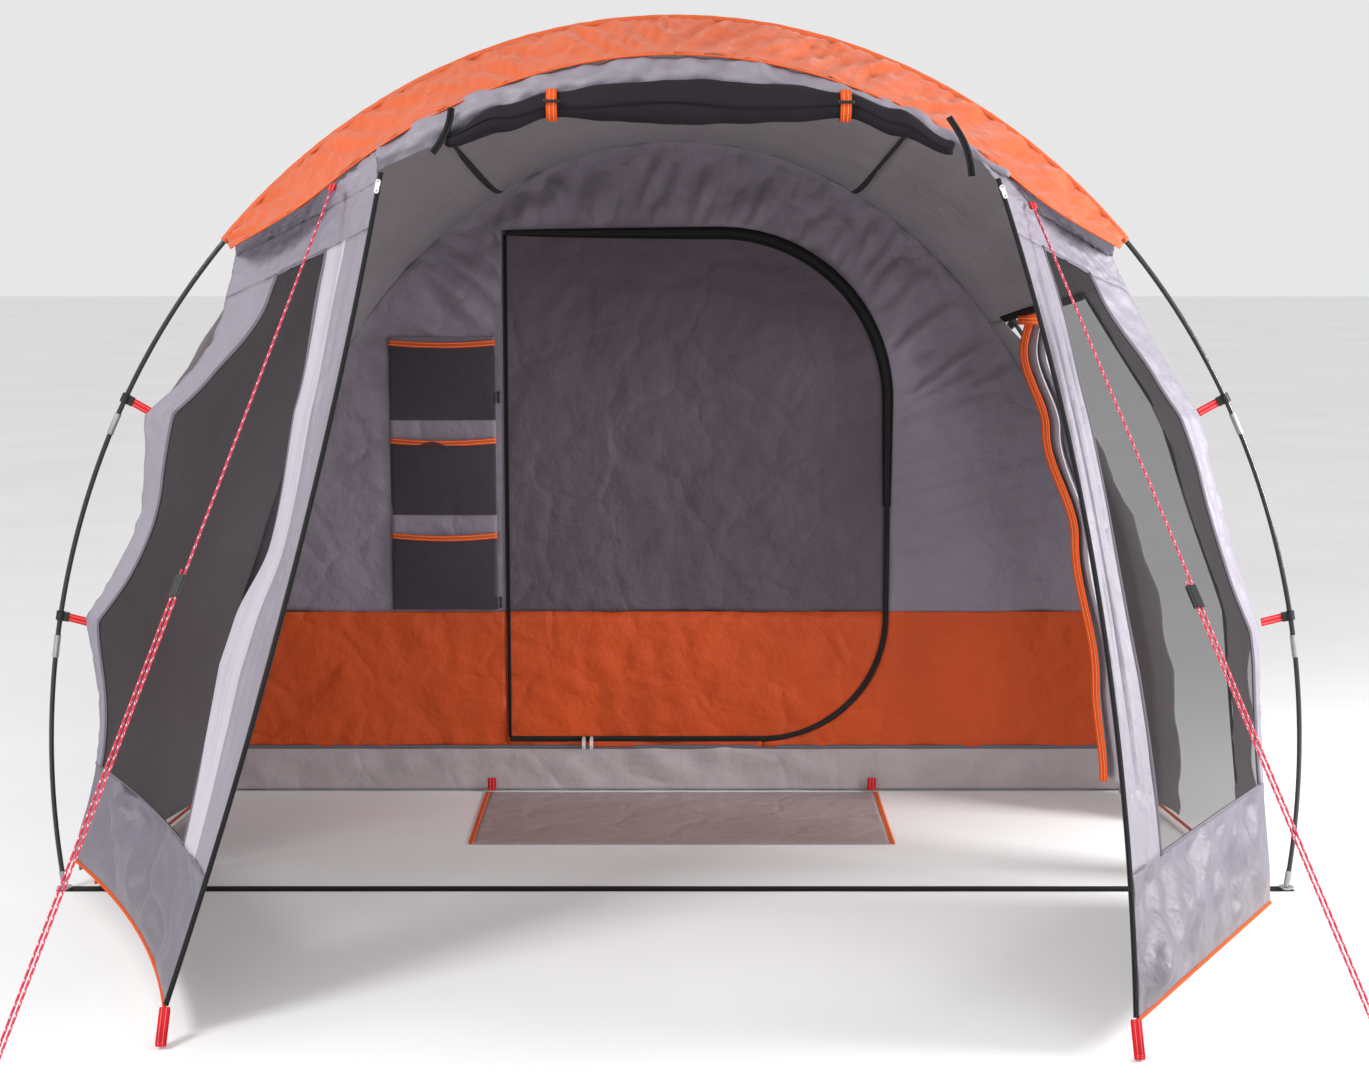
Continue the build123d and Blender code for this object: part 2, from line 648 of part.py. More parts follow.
# groundsheet and its turned-up walls
floor_front = inner_front_y
floor_back = cabin_middle_y + inner_back_half_depth - 45.0
floor_half = inner_back_half_width - 45.0
with BuildPart() as groundsheet:
    with BuildSketch(Plane.XY):
        with Locations((0, (floor_front + floor_back) / 2.0)):
            Rectangle(2.0 * floor_half, floor_back - floor_front)
    extrude(amount=3.0)
finish(groundsheet, "groundsheet")

with BuildPart() as tub_walls:
    with BuildSketch(wall_plane) as flat:
        with Locations((0, (tub_height + 3.3) / 2.0)):
            Rectangle(2.0 * inner_half_width - 8.0, tub_height - 3.3)
    extrude(flat.sketch, amount=inner_thickness)
    floor_mid, floor_depth = (floor_front + floor_back) / 2.0, floor_back - floor_front
    for x, y, size_x, size_y in ((-floor_half - 2.5, floor_mid + 1.0, 4.0, floor_depth - 2.0),
                                 (floor_half + 2.5, floor_mid + 1.0, 4.0, floor_depth - 2.0),
                                 (0, floor_back + 2.5, 2.0 * floor_half, 4.0)):
        with BuildSketch(Plane.XY.offset(0.2)) as strip:
            with Locations((x, y)):
                Rectangle(size_x, size_y)
        extrude(strip.sketch, amount=tub_height - 10.0)
finish(tub_walls, "tub_walls")

# D-shaped cabin door: charcoal above, orange below, zip coil round its edge
door_plane = Plane(origin=(0, inner_front_y - 0.2, 0), x_dir=(1, 0, 0), z_dir=(0, -1, 0))
leaf = door_outline(0)
with BuildPart() as whole_leaf:
    with BuildSketch(door_plane):
        add(leaf)
    extrude(amount=inner_thickness)
for piece_name, z0, z1 in (("cabin_door_upper", skirt_top + 0.3, door_top + 1.0),
                           ("cabin_door_lower", door_bottom - 1.0, skirt_top)):
    with BuildPart() as door:
        cut_from(whole_leaf.part, door_plane, [(door_left - 1.0, door_right + 1.0, z0, z1)])
    finish(door, piece_name)

with BuildPart() as door_zip:
    with BuildSketch(door_plane.offset(inner_thickness + 0.3)):
        add(leaf)
        add(door_outline(-zip_width), mode=Mode.SUBTRACT)
    extrude(amount=2.5)
finish(door_zip, "cabin_door_zip")

# pocket organiser: backing cloth and three open-topped mesh pockets with bound tops
pocket_left, pocket_right = -733.0, -462.0
pocket_rows = [(971.0, 1175.0), (727.0, 925.0), (480.0, 680.0)]
pocket_depth, pocket_skin = 20.0, 2.0
wall_face_y = inner_front_y - inner_thickness
pocket_plane = Plane(origin=(0, wall_face_y - 0.3, 0), x_dir=(1, 0, 0), z_dir=(0, -1, 0))
pocket_mid = (pocket_left + pocket_right) / 2.0
pocket_width = pocket_right - pocket_left
with BuildPart() as backing:
    with BuildSketch(pocket_plane):
        with Locations((pocket_mid, 829.0)):
            Rectangle(pocket_width, 708.0)
    extrude(amount=1.5)
finish(backing, "pocket_backing")

with BuildPart() as pockets:
    for low, high in pocket_rows:
        with BuildSketch(pocket_plane.offset(1.8)) as outside:
            with Locations((pocket_mid, (low + high) / 2.0)):
                Rectangle(pocket_width, high - low)
        extrude(outside.sketch, amount=pocket_depth)
        with BuildSketch(pocket_plane.offset(1.8)) as inside:
            with Locations((pocket_mid, (low + high) / 2.0 + pocket_skin)):
                Rectangle(pocket_width - 2.0 * pocket_skin, high - low)
        extrude(inside.sketch, amount=pocket_depth - pocket_skin, mode=Mode.SUBTRACT)
finish(pockets, "mesh_pockets")

with BuildPart() as bindings:
    for low, high in pocket_rows:
        with BuildSketch(pocket_plane.offset(1.8 + pocket_depth + 0.2)) as strip:
            with Locations((pocket_mid, high - 8.0)):
                Rectangle(pocket_width, 16.0)
        extrude(strip.sketch, amount=2.0)
finish(bindings, "pocket_bindings")

# ---- porch mat ----------------------------------------------------------------------
with BuildPart() as mat:
    with BuildSketch(Plane.XY):
        with Locations((mat_middle_x, mat_back_y - mat_depth / 2.0)):
            Rectangle(mat_width - 24.0, mat_depth)
    extrude(amount=mat_thickness)
finish(mat, "mat")

with BuildPart() as mat_edging:
    for side in (-1, 1):
        with BuildSketch(Plane.XY) as strip:
            with Locations((mat_middle_x + side * (mat_width / 2.0 - 5.6), mat_back_y - mat_depth / 2.0)):
                Rectangle(12.0, mat_depth)
        extrude(strip.sketch, amount=mat_thickness + 1.0)
finish(mat_edging, "mat_edging")

with BuildPart() as mat_tabs:
    for x in (mat_middle_x - 506.0, mat_middle_x + 484.0):
        with BuildSketch(Plane(origin=(x, mat_back_y + 4.8, 4.5), x_dir=(0, 1, 0), z_dir=(1, 0, 0))) as tab:
            Rectangle(8.0, 3.0, align=(Align.MIN, Align.MIN))
            with Locations((8.0, 0)):
                Rectangle(3.0, 34.0, align=(Align.MIN, Align.MIN))
        extrude(tab.sketch, amount=22.0)
finish(mat_tabs, "mat_tabs")


# ---- zip sliders --------------------------------------------------------------------
def slider(name, place):
    """Cast slider body: two plates joined by a wedge, with a bridge for the pull."""
    with BuildPart() as body:
        with BuildSketch(place):
            RectangleRounded(9.0, 13.0, 3.0)
        extrude(amount=5.0)
        fillet(body.faces().sort_by(Axis(place.origin, place.z_dir))[-1].edges(), 0.8)
        with BuildSketch(place.offset(4.9)) as bridge:
            with Locations((0, -3.4), (0, 3.4)):
                Rectangle(3.0, 1.6)
        extrude(bridge.sketch, amount=2.6)
        with BuildSketch(place.offset(7.4)) as bar:
            Rectangle(3.0, 8.4)
        extrude(bar.sketch, amount=1.4)
    finish(body, name)


def pull(name, place):
    """Pull tab: hangs from the bridge by an eye and ends in a moulded grip."""
    with BuildPart() as tab:
        with BuildSketch(place):
            with Locations((0, -10.4)):
                SlotOverall(30.0, 9.0, rotation=90)
            with Locations((0, 0)):
                Circle(2.4, mode=Mode.SUBTRACT)
            with Locations((0, -20.0)):
                Circle(1.8, mode=Mode.SUBTRACT)
        extrude(amount=2.0)
    finish(tab, name)


def zip_place(side, rise, lift):
    """On a fly zip's front face: Y runs up the zip."""
    run, across = zip_frame(side, rise)
    normal = across.cross(run)
    return Plane(origin=zip_line(side, rise) + normal * lift, x_dir=across, z_dir=normal)


for side, side_name in ((-1, "left"), (1, "right")):
    slider(f"door_slider_{side_name}", zip_place(side, 0.985, 2.6))
    place = zip_place(side, 0.985, 2.6 + 9.2)
    pull(f"door_pull_{side_name}", place)

cabin_slider_x = (-242.0, -222.0)
cabin_slider_z = door_bottom + zip_width / 2.0
zip_thickness = 2.5
slider_face_y = inner_front_y - 0.2 - inner_thickness - 0.3 - zip_thickness - 0.4
for index, x in enumerate(cabin_slider_x):
    place = Plane(origin=(x, slider_face_y, cabin_slider_z), x_dir=(1, 0, 0), z_dir=(0, -1, 0))
    slider(f"cabin_slider_{index + 1}", place)
    pull(f"cabin_pull_{index + 1}", place.offset(9.2))


# ---- guylines -----------------------------------------------------------------------
strand_gap = 9.0
runner_length, runner_width, runner_depth = 46.0, 22.0, 11.0
tail = 34.0                   # the return strand ends this far above the runner's middle
bite = 1.5                    # each rope end goes this far into its loop
for side_name, (top, foot) in guylines.items():
    along, across = rope_frame(top, foot)
    length = (foot - top).length
    runner_at = length * runner_share
    with BuildPart() as rope:
        with BuildSketch(Plane(origin=top - along * bite, z_dir=along)):
            Circle(rope_diameter / 2.0)
        extrude(amount=length + 2.0 * bite)
    finish(rope, f"guyline_{side_name}")
    with BuildPart() as second:
        with BuildSketch(Plane(origin=top + across * strand_gap + along * (runner_at - tail), z_dir=along)):
            Circle(rope_diameter / 2.0)
        extrude(amount=length - runner_at + tail + bite)
    finish(second, f"guyline_return_{side_name}")
    with BuildPart() as runner:
        base = top + across * (strand_gap / 2.0) + along * (runner_at - runner_length / 2.0)
        with BuildSketch(Plane(origin=base, x_dir=across, z_dir=along)):
            RectangleRounded(runner_width, runner_depth, 4.0)
            with Locations((-strand_gap / 2.0, 0), (strand_gap / 2.0, 0)):
                Circle(rope_diameter / 2.0 + 0.5, mode=Mode.SUBTRACT)
        extrude(amount=runner_length)
    finish(runner, f"guy_runner_{side_name}")

# rope loops at the ground ends
with BuildPart() as ground_loops:
    for top, foot in guylines.values():
        along, across = rope_frame(top, foot)
        centre = foot + across * (strand_gap / 2.0) + along * 14.5
        with BuildSketch(Plane(origin=centre, x_dir=along, z_dir=across.cross(along))) as ring:
            Circle(15.0)
            Circle(10.0, mode=Mode.SUBTRACT)
        extrude(ring.sketch, amount=rope_diameter / 2.0, both=True)
finish(ground_loops, "guy_loops")
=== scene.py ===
"""Dome tent: cloth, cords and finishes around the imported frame, in metres."""
from math import asin, cos, degrees, exp, pi, radians, sin, sqrt, tau

import bpy
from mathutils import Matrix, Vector, noise


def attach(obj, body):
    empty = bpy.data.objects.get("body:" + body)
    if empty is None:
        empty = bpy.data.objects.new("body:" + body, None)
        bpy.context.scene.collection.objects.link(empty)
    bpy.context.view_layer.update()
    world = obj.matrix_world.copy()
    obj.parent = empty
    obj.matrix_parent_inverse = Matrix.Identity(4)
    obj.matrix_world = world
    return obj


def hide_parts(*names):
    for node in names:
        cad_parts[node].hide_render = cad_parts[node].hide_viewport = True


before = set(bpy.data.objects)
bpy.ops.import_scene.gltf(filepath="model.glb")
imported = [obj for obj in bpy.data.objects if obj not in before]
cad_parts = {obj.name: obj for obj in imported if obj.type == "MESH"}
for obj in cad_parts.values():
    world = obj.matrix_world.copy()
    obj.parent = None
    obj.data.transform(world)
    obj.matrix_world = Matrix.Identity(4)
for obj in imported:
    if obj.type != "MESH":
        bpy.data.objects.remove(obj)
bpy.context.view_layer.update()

# ---- camera, floor and light --------------------------------------------------------
scene = bpy.context.scene
camera_data = bpy.data.cameras.new("camera")
camera_data.sensor_width = 36.0
camera_data.lens = 60.8
camera = bpy.data.objects.new("camera", camera_data)
camera.location = (0.02, -5.0, 1.48)
camera.rotation_euler = (radians(82.1), 0.0, 0.0)
scene.collection.objects.link(camera)
scene.camera = camera
scene.view_settings.view_transform = "Standard"

SHEET_THICKNESS = 0.0012


def linear(red, green, blue):
    """An 8-bit screen colour as the linear colour that a shader takes."""
    def channel(value):
        value /= 255.0
        return value / 12.92 if value <= 0.04045 else ((value + 0.055) / 1.055) ** 2.4
    return (channel(red), channel(green), channel(blue), 1.0)


def scaled(colour, factor):
    return tuple(min(1.0, c * factor) for c in colour[:3]) + (1.0,)


# ---- materials ----------------------------------------------------------------------
class Finish:
    """One Principled material and the nodes that feed it."""

    def __init__(self, name, roughness=0.6, **sockets):
        self.material = bpy.data.materials.new(name)
        self.material.use_nodes = True
        self.tree = self.material.node_tree
        self.shader = self.tree.nodes["Principled BSDF"]
        self.shader.inputs["Roughness"].default_value = roughness
        for socket, value in sockets.items():
            self.shader.inputs[socket.replace("_", " ")].default_value = value

    def node(self, kind, links=None, **settings):
        made = self.tree.nodes.new(kind)
        for key, value in settings.items():
            if hasattr(made, key):
                setattr(made, key, value)
            else:
                made.inputs[key.replace("_", " ")].default_value = value
        for socket, source in (links or {}).items():
            self.tree.links.new(source, made.inputs[socket])
        return made

    def coordinates(self, uv):
        return self.node("ShaderNodeTexCoord").outputs["UV" if uv else "Object"]

    def math(self, operation, first, second):
        made = self.tree.nodes.new("ShaderNodeMath")
        made.operation = operation
        for index, value in enumerate((first, second)):
            if isinstance(value, (int, float)):
                made.inputs[index].default_value = value
            else:
                self.tree.links.new(value, made.inputs[index])
        return made.outputs[0]

    def noise(self, where, scale, detail=4.0, roughness=0.55):
        return self.node("ShaderNodeTexNoise", {"Vector": where}, Scale=scale, Detail=detail,
                         Roughness=roughness).outputs["Fac"]

    def ramp(self, value, stops):
        made = self.node("ShaderNodeValToRGB", {"Fac": value})
        elements = made.color_ramp.elements
        while len(elements) < len(stops):
            elements.new(0.5)
        for element, (place, colour) in zip(elements, stops):
            element.position, element.color = place, colour
        return made.outputs["Color"]

    def mix(self, share, first, second, blend="MIX"):
        made = self.tree.nodes.new("ShaderNodeMix")
        made.data_type, made.blend_type = "RGBA", blend
        for index, value in ((0, share), (6, first), (7, second)):
            if hasattr(value, "is_output"):
                self.tree.links.new(value, made.inputs[index])
            else:
                made.inputs[index].default_value = value
        return made.outputs[2]

    def remap(self, value, low, high):
        return self.node("ShaderNodeMapRange", {"Value": value}, To_Min=low, To_Max=high).outputs[0]

    def bump(self, layers):
        """Stack bumps, each (height, strength, distance in metres)."""
        normal = None
        for height, strength, distance in layers:
            links = {"Height": height}
            if normal is not None:
                links["Normal"] = normal
            normal = self.node("ShaderNodeBump", links, Strength=strength,
                               Distance=distance).outputs[0]
        self.tree.links.new(normal, self.shader.inputs["Normal"])

    def paint(self, colour, roughness=None):
        self.tree.links.new(colour, self.shader.inputs["Base Color"])
        if roughness is not None:
            self.tree.links.new(roughness, self.shader.inputs["Roughness"])
        return self.material

WAVE_PERIOD = 0.314159   # metres between the bands of a wave texture whose scale is 1


def threads(finish, where, pitch):
    """Woven threads along both directions of the cloth, as one height."""
    waves = []
    for direction in ("X", "Y"):
        wave = finish.node("ShaderNodeTexWave", {"Vector": where}, bands_direction=direction,
                           Scale=WAVE_PERIOD / pitch, Distortion=0.6, Detail=1.0)
        waves.append(wave.outputs["Fac"])
    return finish.math("MAXIMUM", waves[0], waves[1])

DUST = (0.32, 0.27, 0.22, 1.0)
def cloth_finish(name, colour, roughness=0.55, pitch=0.0011, variation=0.10, crinkle=0.35,
                 dust=0.0, grid=0.0, **sockets):
    """Thin woven cloth: thread grain, soft shade variation, fine creases and wear."""
    finish = Finish(name, roughness, **sockets)
    where = finish.coordinates(True)
    place = finish.coordinates(False)
    broad = finish.noise(place, 3.1, 3.0)
    fine = finish.noise(place, 34.0, 5.0, 0.6)
    shade = finish.ramp(broad, [(0.25, scaled(colour, 1.0 - variation)),
                                (0.75, scaled(colour, 1.0 + variation))])
    grain = threads(finish, where, pitch)
    shade = finish.mix(finish.remap(grain, 0.0, 0.16), shade, scaled(colour, 0.55))
    if grid > 0:
        square = finish.node("ShaderNodeTexBrick", {"Vector": where}, Scale=1.0, Mortar_Size=0.0004,
                             Brick_Width=grid, Row_Height=grid, offset=0.0).outputs["Fac"]
        shade = finish.mix(finish.math("MULTIPLY", square, 0.25), shade, scaled(colour, 1.5))
    if dust > 0:
        height = finish.node("ShaderNodeSeparateXYZ", {"Vector": place}).outputs["Z"]
        low = finish.node("ShaderNodeMapRange", {"Value": height}, From_Max=0.16, To_Min=dust,
                          To_Max=0.0).outputs[0]
        shade = finish.mix(finish.math("MULTIPLY", low, fine), shade, DUST)
    warp = finish.node("ShaderNodeTexNoise", {"Vector": place}, Scale=3.5,
                       Detail=3.0).outputs["Color"]
    creases = finish.node("ShaderNodeTexVoronoi", {"Vector": finish.mix(0.16, place, warp)},
                          feature="DISTANCE_TO_EDGE", Scale=6.5, Randomness=1.0).outputs["Distance"]
    creases = finish.node("ShaderNodeMapRange", {"Value": creases}, From_Max=0.11).outputs[0]
    rumple = finish.noise(place, 11.0, 3.0, 0.5)
    finish.bump([(rumple, crinkle, 0.020), (creases, crinkle * 0.8, 0.0040),
                 (fine, crinkle, 0.0050), (grain, 0.25, 0.0002)])
    return finish.paint(shade, finish.remap(fine, roughness - 0.08, roughness + 0.12))


def net_finish(name, colour, alpha):
    """Insect mesh: fine open net, drawn as part see-through."""
    finish = Finish(name, 0.75, Alpha=alpha, Specular_IOR_Level=0.15)
    where = finish.coordinates(True)
    grain = threads(finish, where, 0.0016)
    fine = finish.noise(finish.coordinates(False), 12.0)
    shade = finish.mix(finish.remap(grain, 0.0, 0.6), scaled(colour, 0.8), scaled(colour, 1.7))
    shade = finish.mix(finish.remap(fine, 0.0, 0.35), shade, scaled(colour, 0.6))
    finish.bump([(fine, 0.2, 0.004), (grain, 0.3, 0.0003)])
    return finish.paint(shade)


STITCH_OUT, STITCH_WIDTH, STITCHES_PER_METRE = 0.0042, 0.0006, 300.0


def webbing_finish(name, colour, pitch=0.0022, stitch=None):
    """Flat woven tape: ribs across its length, and a stitched line near each edge."""
    finish = Finish(name, 0.72, Specular_IOR_Level=0.2)
    where = finish.coordinates(True)
    ribs = finish.node("ShaderNodeTexWave", {"Vector": where}, bands_direction="Y",
                       Scale=WAVE_PERIOD / pitch, Distortion=0.8, Detail=1.0).outputs["Fac"]
    fine = finish.noise(finish.coordinates(False), 60.0)
    shade = finish.mix(finish.remap(ribs, 0.0, 0.45), scaled(colour, 1.15), scaled(colour, 0.55))
    shade = finish.mix(finish.remap(fine, 0.0, 0.3), shade, scaled(colour, 0.7))
    layers = [(fine, 0.2, 0.001), (ribs, 0.5, 0.0004)]
    if stitch is not None:
        split = finish.node("ShaderNodeSeparateXYZ", {"Vector": where})
        side = finish.math("ABSOLUTE", split.outputs["X"], 0.0)
        off_line = finish.math("ABSOLUTE", finish.math("SUBTRACT", side, STITCH_OUT), 0.0)
        line = finish.math("LESS_THAN", off_line, STITCH_WIDTH)
        count = finish.math("MULTIPLY", split.outputs["Y"], STITCHES_PER_METRE)
        dash = finish.math("LESS_THAN", finish.math("FRACT", count, 0.0), 0.65)
        thread = finish.math("MULTIPLY", line, dash)
        shade = finish.mix(thread, shade, stitch)
        layers.append((thread, 0.6, 0.0005))
    finish.bump(layers)
    return finish.paint(shade)


def hard_finish(name, colour, roughness, metallic=0.0, streak=0.0, scratch=0.15, **sockets):
    """Moulded plastic, coated pole or metal with fine marks and worn patches."""
    finish = Finish(name, roughness, Metallic=metallic, **sockets)
    place = finish.coordinates(False)
    broad = finish.noise(place, 22.0, 3.0)
    fine = finish.noise(place, 420.0, 4.0, 0.7)
    worn = finish.ramp(broad, [(0.45, scaled(colour, 1.0)),
                               (0.72, scaled(colour, 1.0 + streak + 0.25))])
    shade = finish.mix(finish.remap(fine, 0.0, 0.35), worn, scaled(colour, 0.6))
    finish.bump([(broad, scratch, 0.0006), (fine, scratch, 0.00025)])
    return finish.paint(shade, finish.remap(fine, roughness - 0.08, roughness + 0.14))


def rope_finish(name, colour, fleck):
    """Braided guyline: coloured sheath with pale flecks that wind round it."""
    finish = Finish(name, 0.6, Sheen_Weight=0.2)
    split = finish.node("ShaderNodeSeparateXYZ", {"Vector": finish.coordinates(True)})
    round_it, along = split.outputs["X"], split.outputs["Y"]
    turns = finish.math("ADD", finish.math("MULTIPLY", along, 46.0), round_it)
    back = finish.math("SUBTRACT", finish.math("MULTIPLY", along, 92.0),
                       finish.math("MULTIPLY", round_it, 2.0))
    first = finish.math("LESS_THAN", finish.math("FRACT", turns, 0.0), 0.36)
    second = finish.math("LESS_THAN", finish.math("FRACT", back, 0.0), 0.52)
    shade = finish.mix(finish.math("MULTIPLY", first, second), colour, fleck)
    fine = finish.noise(finish.coordinates(False), 700.0)
    shade = finish.mix(finish.remap(fine, 0.0, 0.3), shade, scaled(colour, 0.5))
    finish.bump([(fine, 0.4, 0.0004)])
    return finish.paint(shade)


ORANGE = linear(208, 84, 8)
FINISHES = {
    "band": cloth_finish("orange_taffeta", ORANGE, 0.50, Sheen_Weight=0.15, crinkle=0.5),
    "fly": cloth_finish("grey_taffeta", linear(150, 144, 155), 0.50, dust=0.4, crinkle=0.4),
    "fly_pale": cloth_finish("pale_taffeta", linear(184, 179, 188), 0.48, crinkle=0.3),
    "fly_mid": cloth_finish("mid_grey_taffeta", linear(142, 136, 148), 0.5, crinkle=0.4),
    "ceiling": cloth_finish("porch_lining", linear(148, 143, 148), 0.58, crinkle=0.3),
    "low_panel": cloth_finish("lower_panel_taffeta", linear(112, 107, 119), 0.46, dust=0.5,
                              crinkle=0.6),
    "inner": cloth_finish("inner_polyester", linear(134, 125, 138), 0.66, crinkle=0.6,
                          grid=0.0075),
    "inner_orange": cloth_finish("inner_orange_polyester", linear(206, 74, 4), 0.60, crinkle=0.6),
    "door": cloth_finish("door_polyester", linear(88, 77, 88), 0.66, crinkle=0.6, grid=0.0075),
    "tub": cloth_finish("tub_polyethylene", linear(184, 174, 177), 0.42, pitch=0.0018, dust=0.2,
                        crinkle=0.4),
    "mat": cloth_finish("mat_polyethylene", linear(168, 155, 156), 0.5, pitch=0.0022, dust=0.12,
                        crinkle=0.5),
    "net": net_finish("insect_net", linear(11, 10, 12), 0.66),
    "net_pocket": net_finish("pocket_net", linear(62, 57, 63), 0.74),
    "net_roll": net_finish("rolled_net", linear(34, 31, 36), 1.0),
    "hem": webbing_finish("orange_binding", linear(220, 82, 18), stitch=linear(250, 190, 150)),
    "seam": webbing_finish("grey_seam_tape", linear(112, 106, 116), stitch=linear(60, 56, 62)),
    "seam_dark": webbing_finish("dark_seam_tape", linear(50, 46, 51), stitch=linear(90, 86, 92)),
    "zip": webbing_finish("zip_tape", linear(13, 13, 14), stitch=linear(70, 70, 72)),
    "web_black": webbing_finish("black_webbing", linear(18, 18, 19), stitch=linear(75, 75, 76)),
    "web_red": webbing_finish("red_webbing", linear(205, 28, 38), stitch=linear(235, 150, 150)),
    "rope": rope_finish("guyline_sheath", linear(205, 26, 60), linear(240, 190, 202)),
    "pole": hard_finish("fibreglass_pole", linear(20, 20, 22), 0.28, Coat_Weight=0.5,
                        Coat_Roughness=0.15),
    "ferrule": hard_finish("ferrule_metal", linear(176, 177, 180), 0.34, 1.0, streak=0.2),
    "steel": hard_finish("plated_steel", linear(168, 168, 172), 0.3, 1.0, streak=0.2),
    "plastic": hard_finish("black_moulding", linear(26, 26, 28), 0.42, Specular_IOR_Level=0.45),
    "slider": hard_finish("slider_casting", linear(205, 205, 208), 0.24, 1.0),
    "pull": hard_finish("pull_moulding", linear(226, 224, 222), 0.4),
    "elastic": webbing_finish("elastic_cord", linear(70, 70, 74)),
}
SEE_THROUGH = ("net", "net_pocket")   # drawn as one layer, so these get no thickness

# ---- mesh helpers -------------------------------------------------------------------
def finish_piece(name, mesh, finish, body, nodes):
    """Link a mesh as a piece of the tent that rides on a body."""
    piece = bpy.data.objects.new(name, mesh)
    scene.collection.objects.link(piece)
    mesh.materials.append(FINISHES[finish])
    for face in mesh.polygons:
        face.use_smooth = True
    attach(piece, body)
    if nodes:
        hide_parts(*nodes)
    return piece

def lerp(a, b, share):
    return a * (1.0 - share) + b * share


def spaced(low, high, count):
    return [low + (high - low) * k / (count - 1) for k in range(count)]


def path_length(points):
    return sum((b - a).length for a, b in zip(points[:-1], points[1:]))


def wave(x, y, z):
    """Smooth noise between about -1 and 1."""
    return noise.noise(Vector((x, y, z)))


def away_from(centre):
    """For tapes wound round a centre: the way that each point of one faces."""
    return lambda index, point: (point - centre).normalized()
def build_mesh(name, points, faces, uvs):
    mesh = bpy.data.meshes.new(name)
    mesh.from_pydata([tuple(p) for p in points], [], faces)
    layer = mesh.uv_layers.new(name="UVMap")
    for loop in mesh.loops:
        layer.data[loop.index].uv = uvs[loop.vertex_index]
    mesh.update()
    return mesh


def span(limits, count):
    """Evenly spaced values from one limit to the other, for a number of steps."""
    return [limits[0] + (limits[1] - limits[0]) * k / count for k in range(count + 1)]


def grid_points(surface, first, second, steps, ripple):
    """Points of a grid on a surface, moved along its normals by ripple, and their UVs."""
    rows, columns = steps
    flat = [[surface(u, v) for v in span(second, columns)] for u in span(first, rows)]
    down = [0.0]
    middle = columns // 2
    for i in range(rows):
        down.append(down[-1] + (flat[i + 1][middle] - flat[i][middle]).length)
    points, uvs = [], []
    for i in range(rows + 1):
        run = [0.0]
        for j in range(columns):
            run.append(run[-1] + (flat[i][j + 1] - flat[i][j]).length)
        for j in range(columns + 1):
            point = flat[i][j]
            if ripple is not None:
                along = flat[min(i + 1, rows)][j] - flat[max(i - 1, 0)][j]
                across = flat[i][min(j + 1, columns)] - flat[i][max(j - 1, 0)]
                normal = along.cross(across)
                if normal.length > 1e-12:
                    point = point + normal.normalized() * ripple(i / rows, j / columns, point)
            points.append(point)
            uvs.append((run[j] - run[-1] / 2.0, down[i]))
    width = max(path_length(row) for row in flat)
    length = max(path_length(column) for column in zip(*flat))
    area = sum((flat[i + 1][j] - flat[i][j]).cross(flat[i][j + 1] - flat[i][j]).length
               for i in range(rows) for j in range(columns))
    return points, uvs, width, length, area


def sheet_piece(name, patches, finish, nodes=(), body="tent", ripple=None, held="stretched",
                thickness=SHEET_THICKNESS):
    """One sewn panel from one or more grids, each (surface, first span, second span, steps)."""
    points, faces, uvs = [], [], []
    width, length, total = 0.0, 0.0, 0.0
    for surface, first, second, steps in patches:
        base = len(points)
        made, made_uvs, grid_width, grid_length, grid_area = grid_points(
            surface, first, second, steps, ripple)
        points += made
        uvs += made_uvs
        rows, columns = steps
        for i in range(rows):
            for j in range(columns):
                corner = base + i * (columns + 1) + j
                faces.append((corner, corner + 1, corner + columns + 2, corner + columns + 1))
        width, length = max(width, grid_width), max(length, grid_length)
        total += grid_area
    piece = finish_piece(name, build_mesh(name, points, faces, uvs), finish, body, nodes)
    if finish not in SEE_THROUGH:
        solid = piece.modifiers.new("thickness", "SOLIDIFY")
        solid.thickness, solid.offset = thickness, 0.0
    length = max(length, total / width)
    min(total, width * length)
    return piece


def path_frames(points, up):
    """Tangent and sideways unit vectors at each point of a path, square to the local up."""
    frames = []
    for index, point in enumerate(points):
        before, after = points[max(index - 1, 0)], points[min(index + 1, len(points) - 1)]
        tangent = (after - before).normalized()
        lift = up(index, point) if callable(up) else up
        side = tangent.cross(lift).normalized()
        frames.append((tangent, side, side.cross(tangent)))
    return frames


def ribbon(points, up, width, thickness=0.0014):
    """Flat tape along a path: a closed thin strip, seven points across."""
    across = 6
    vertices, faces, uvs = [], [], []
    frames = path_frames(points, up)
    run = 0.0
    for index, point in enumerate(points):
        if index:
            run += (point - points[index - 1]).length
        _, side, lift = frames[index]
        wide = width(index / (len(points) - 1)) if callable(width) else width
        for layer in (0.5, -0.5):
            for k in range(across + 1):
                share = k / across - 0.5
                rise = thickness * layer * (1.0 - 0.5 * abs(2.0 * share) ** 6)
                vertices.append(point + side * (wide * share) + lift * rise)
                uvs.append((wide * share, run))
    ring = 2 * (across + 1)
    for index in range(len(points) - 1):
        a, b = index * ring, (index + 1) * ring
        for k in range(across):
            faces.append((a + k, b + k, b + k + 1, a + k + 1))
            low_a, low_b = a + across + 1 + k, b + across + 1 + k
            faces.append((low_a, low_a + 1, low_b + 1, low_b))
        faces.append((a, a + across + 1, b + across + 1, b))
        faces.append((a + across, b + across, b + ring - 1, a + ring - 1))
    last = (len(points) - 1) * ring
    for k in range(across):
        faces.append((k, k + 1, across + 2 + k, across + 1 + k))
        faces.append((last + k, last + across + 1 + k, last + across + 2 + k, last + k + 1))
    return vertices, faces, uvs


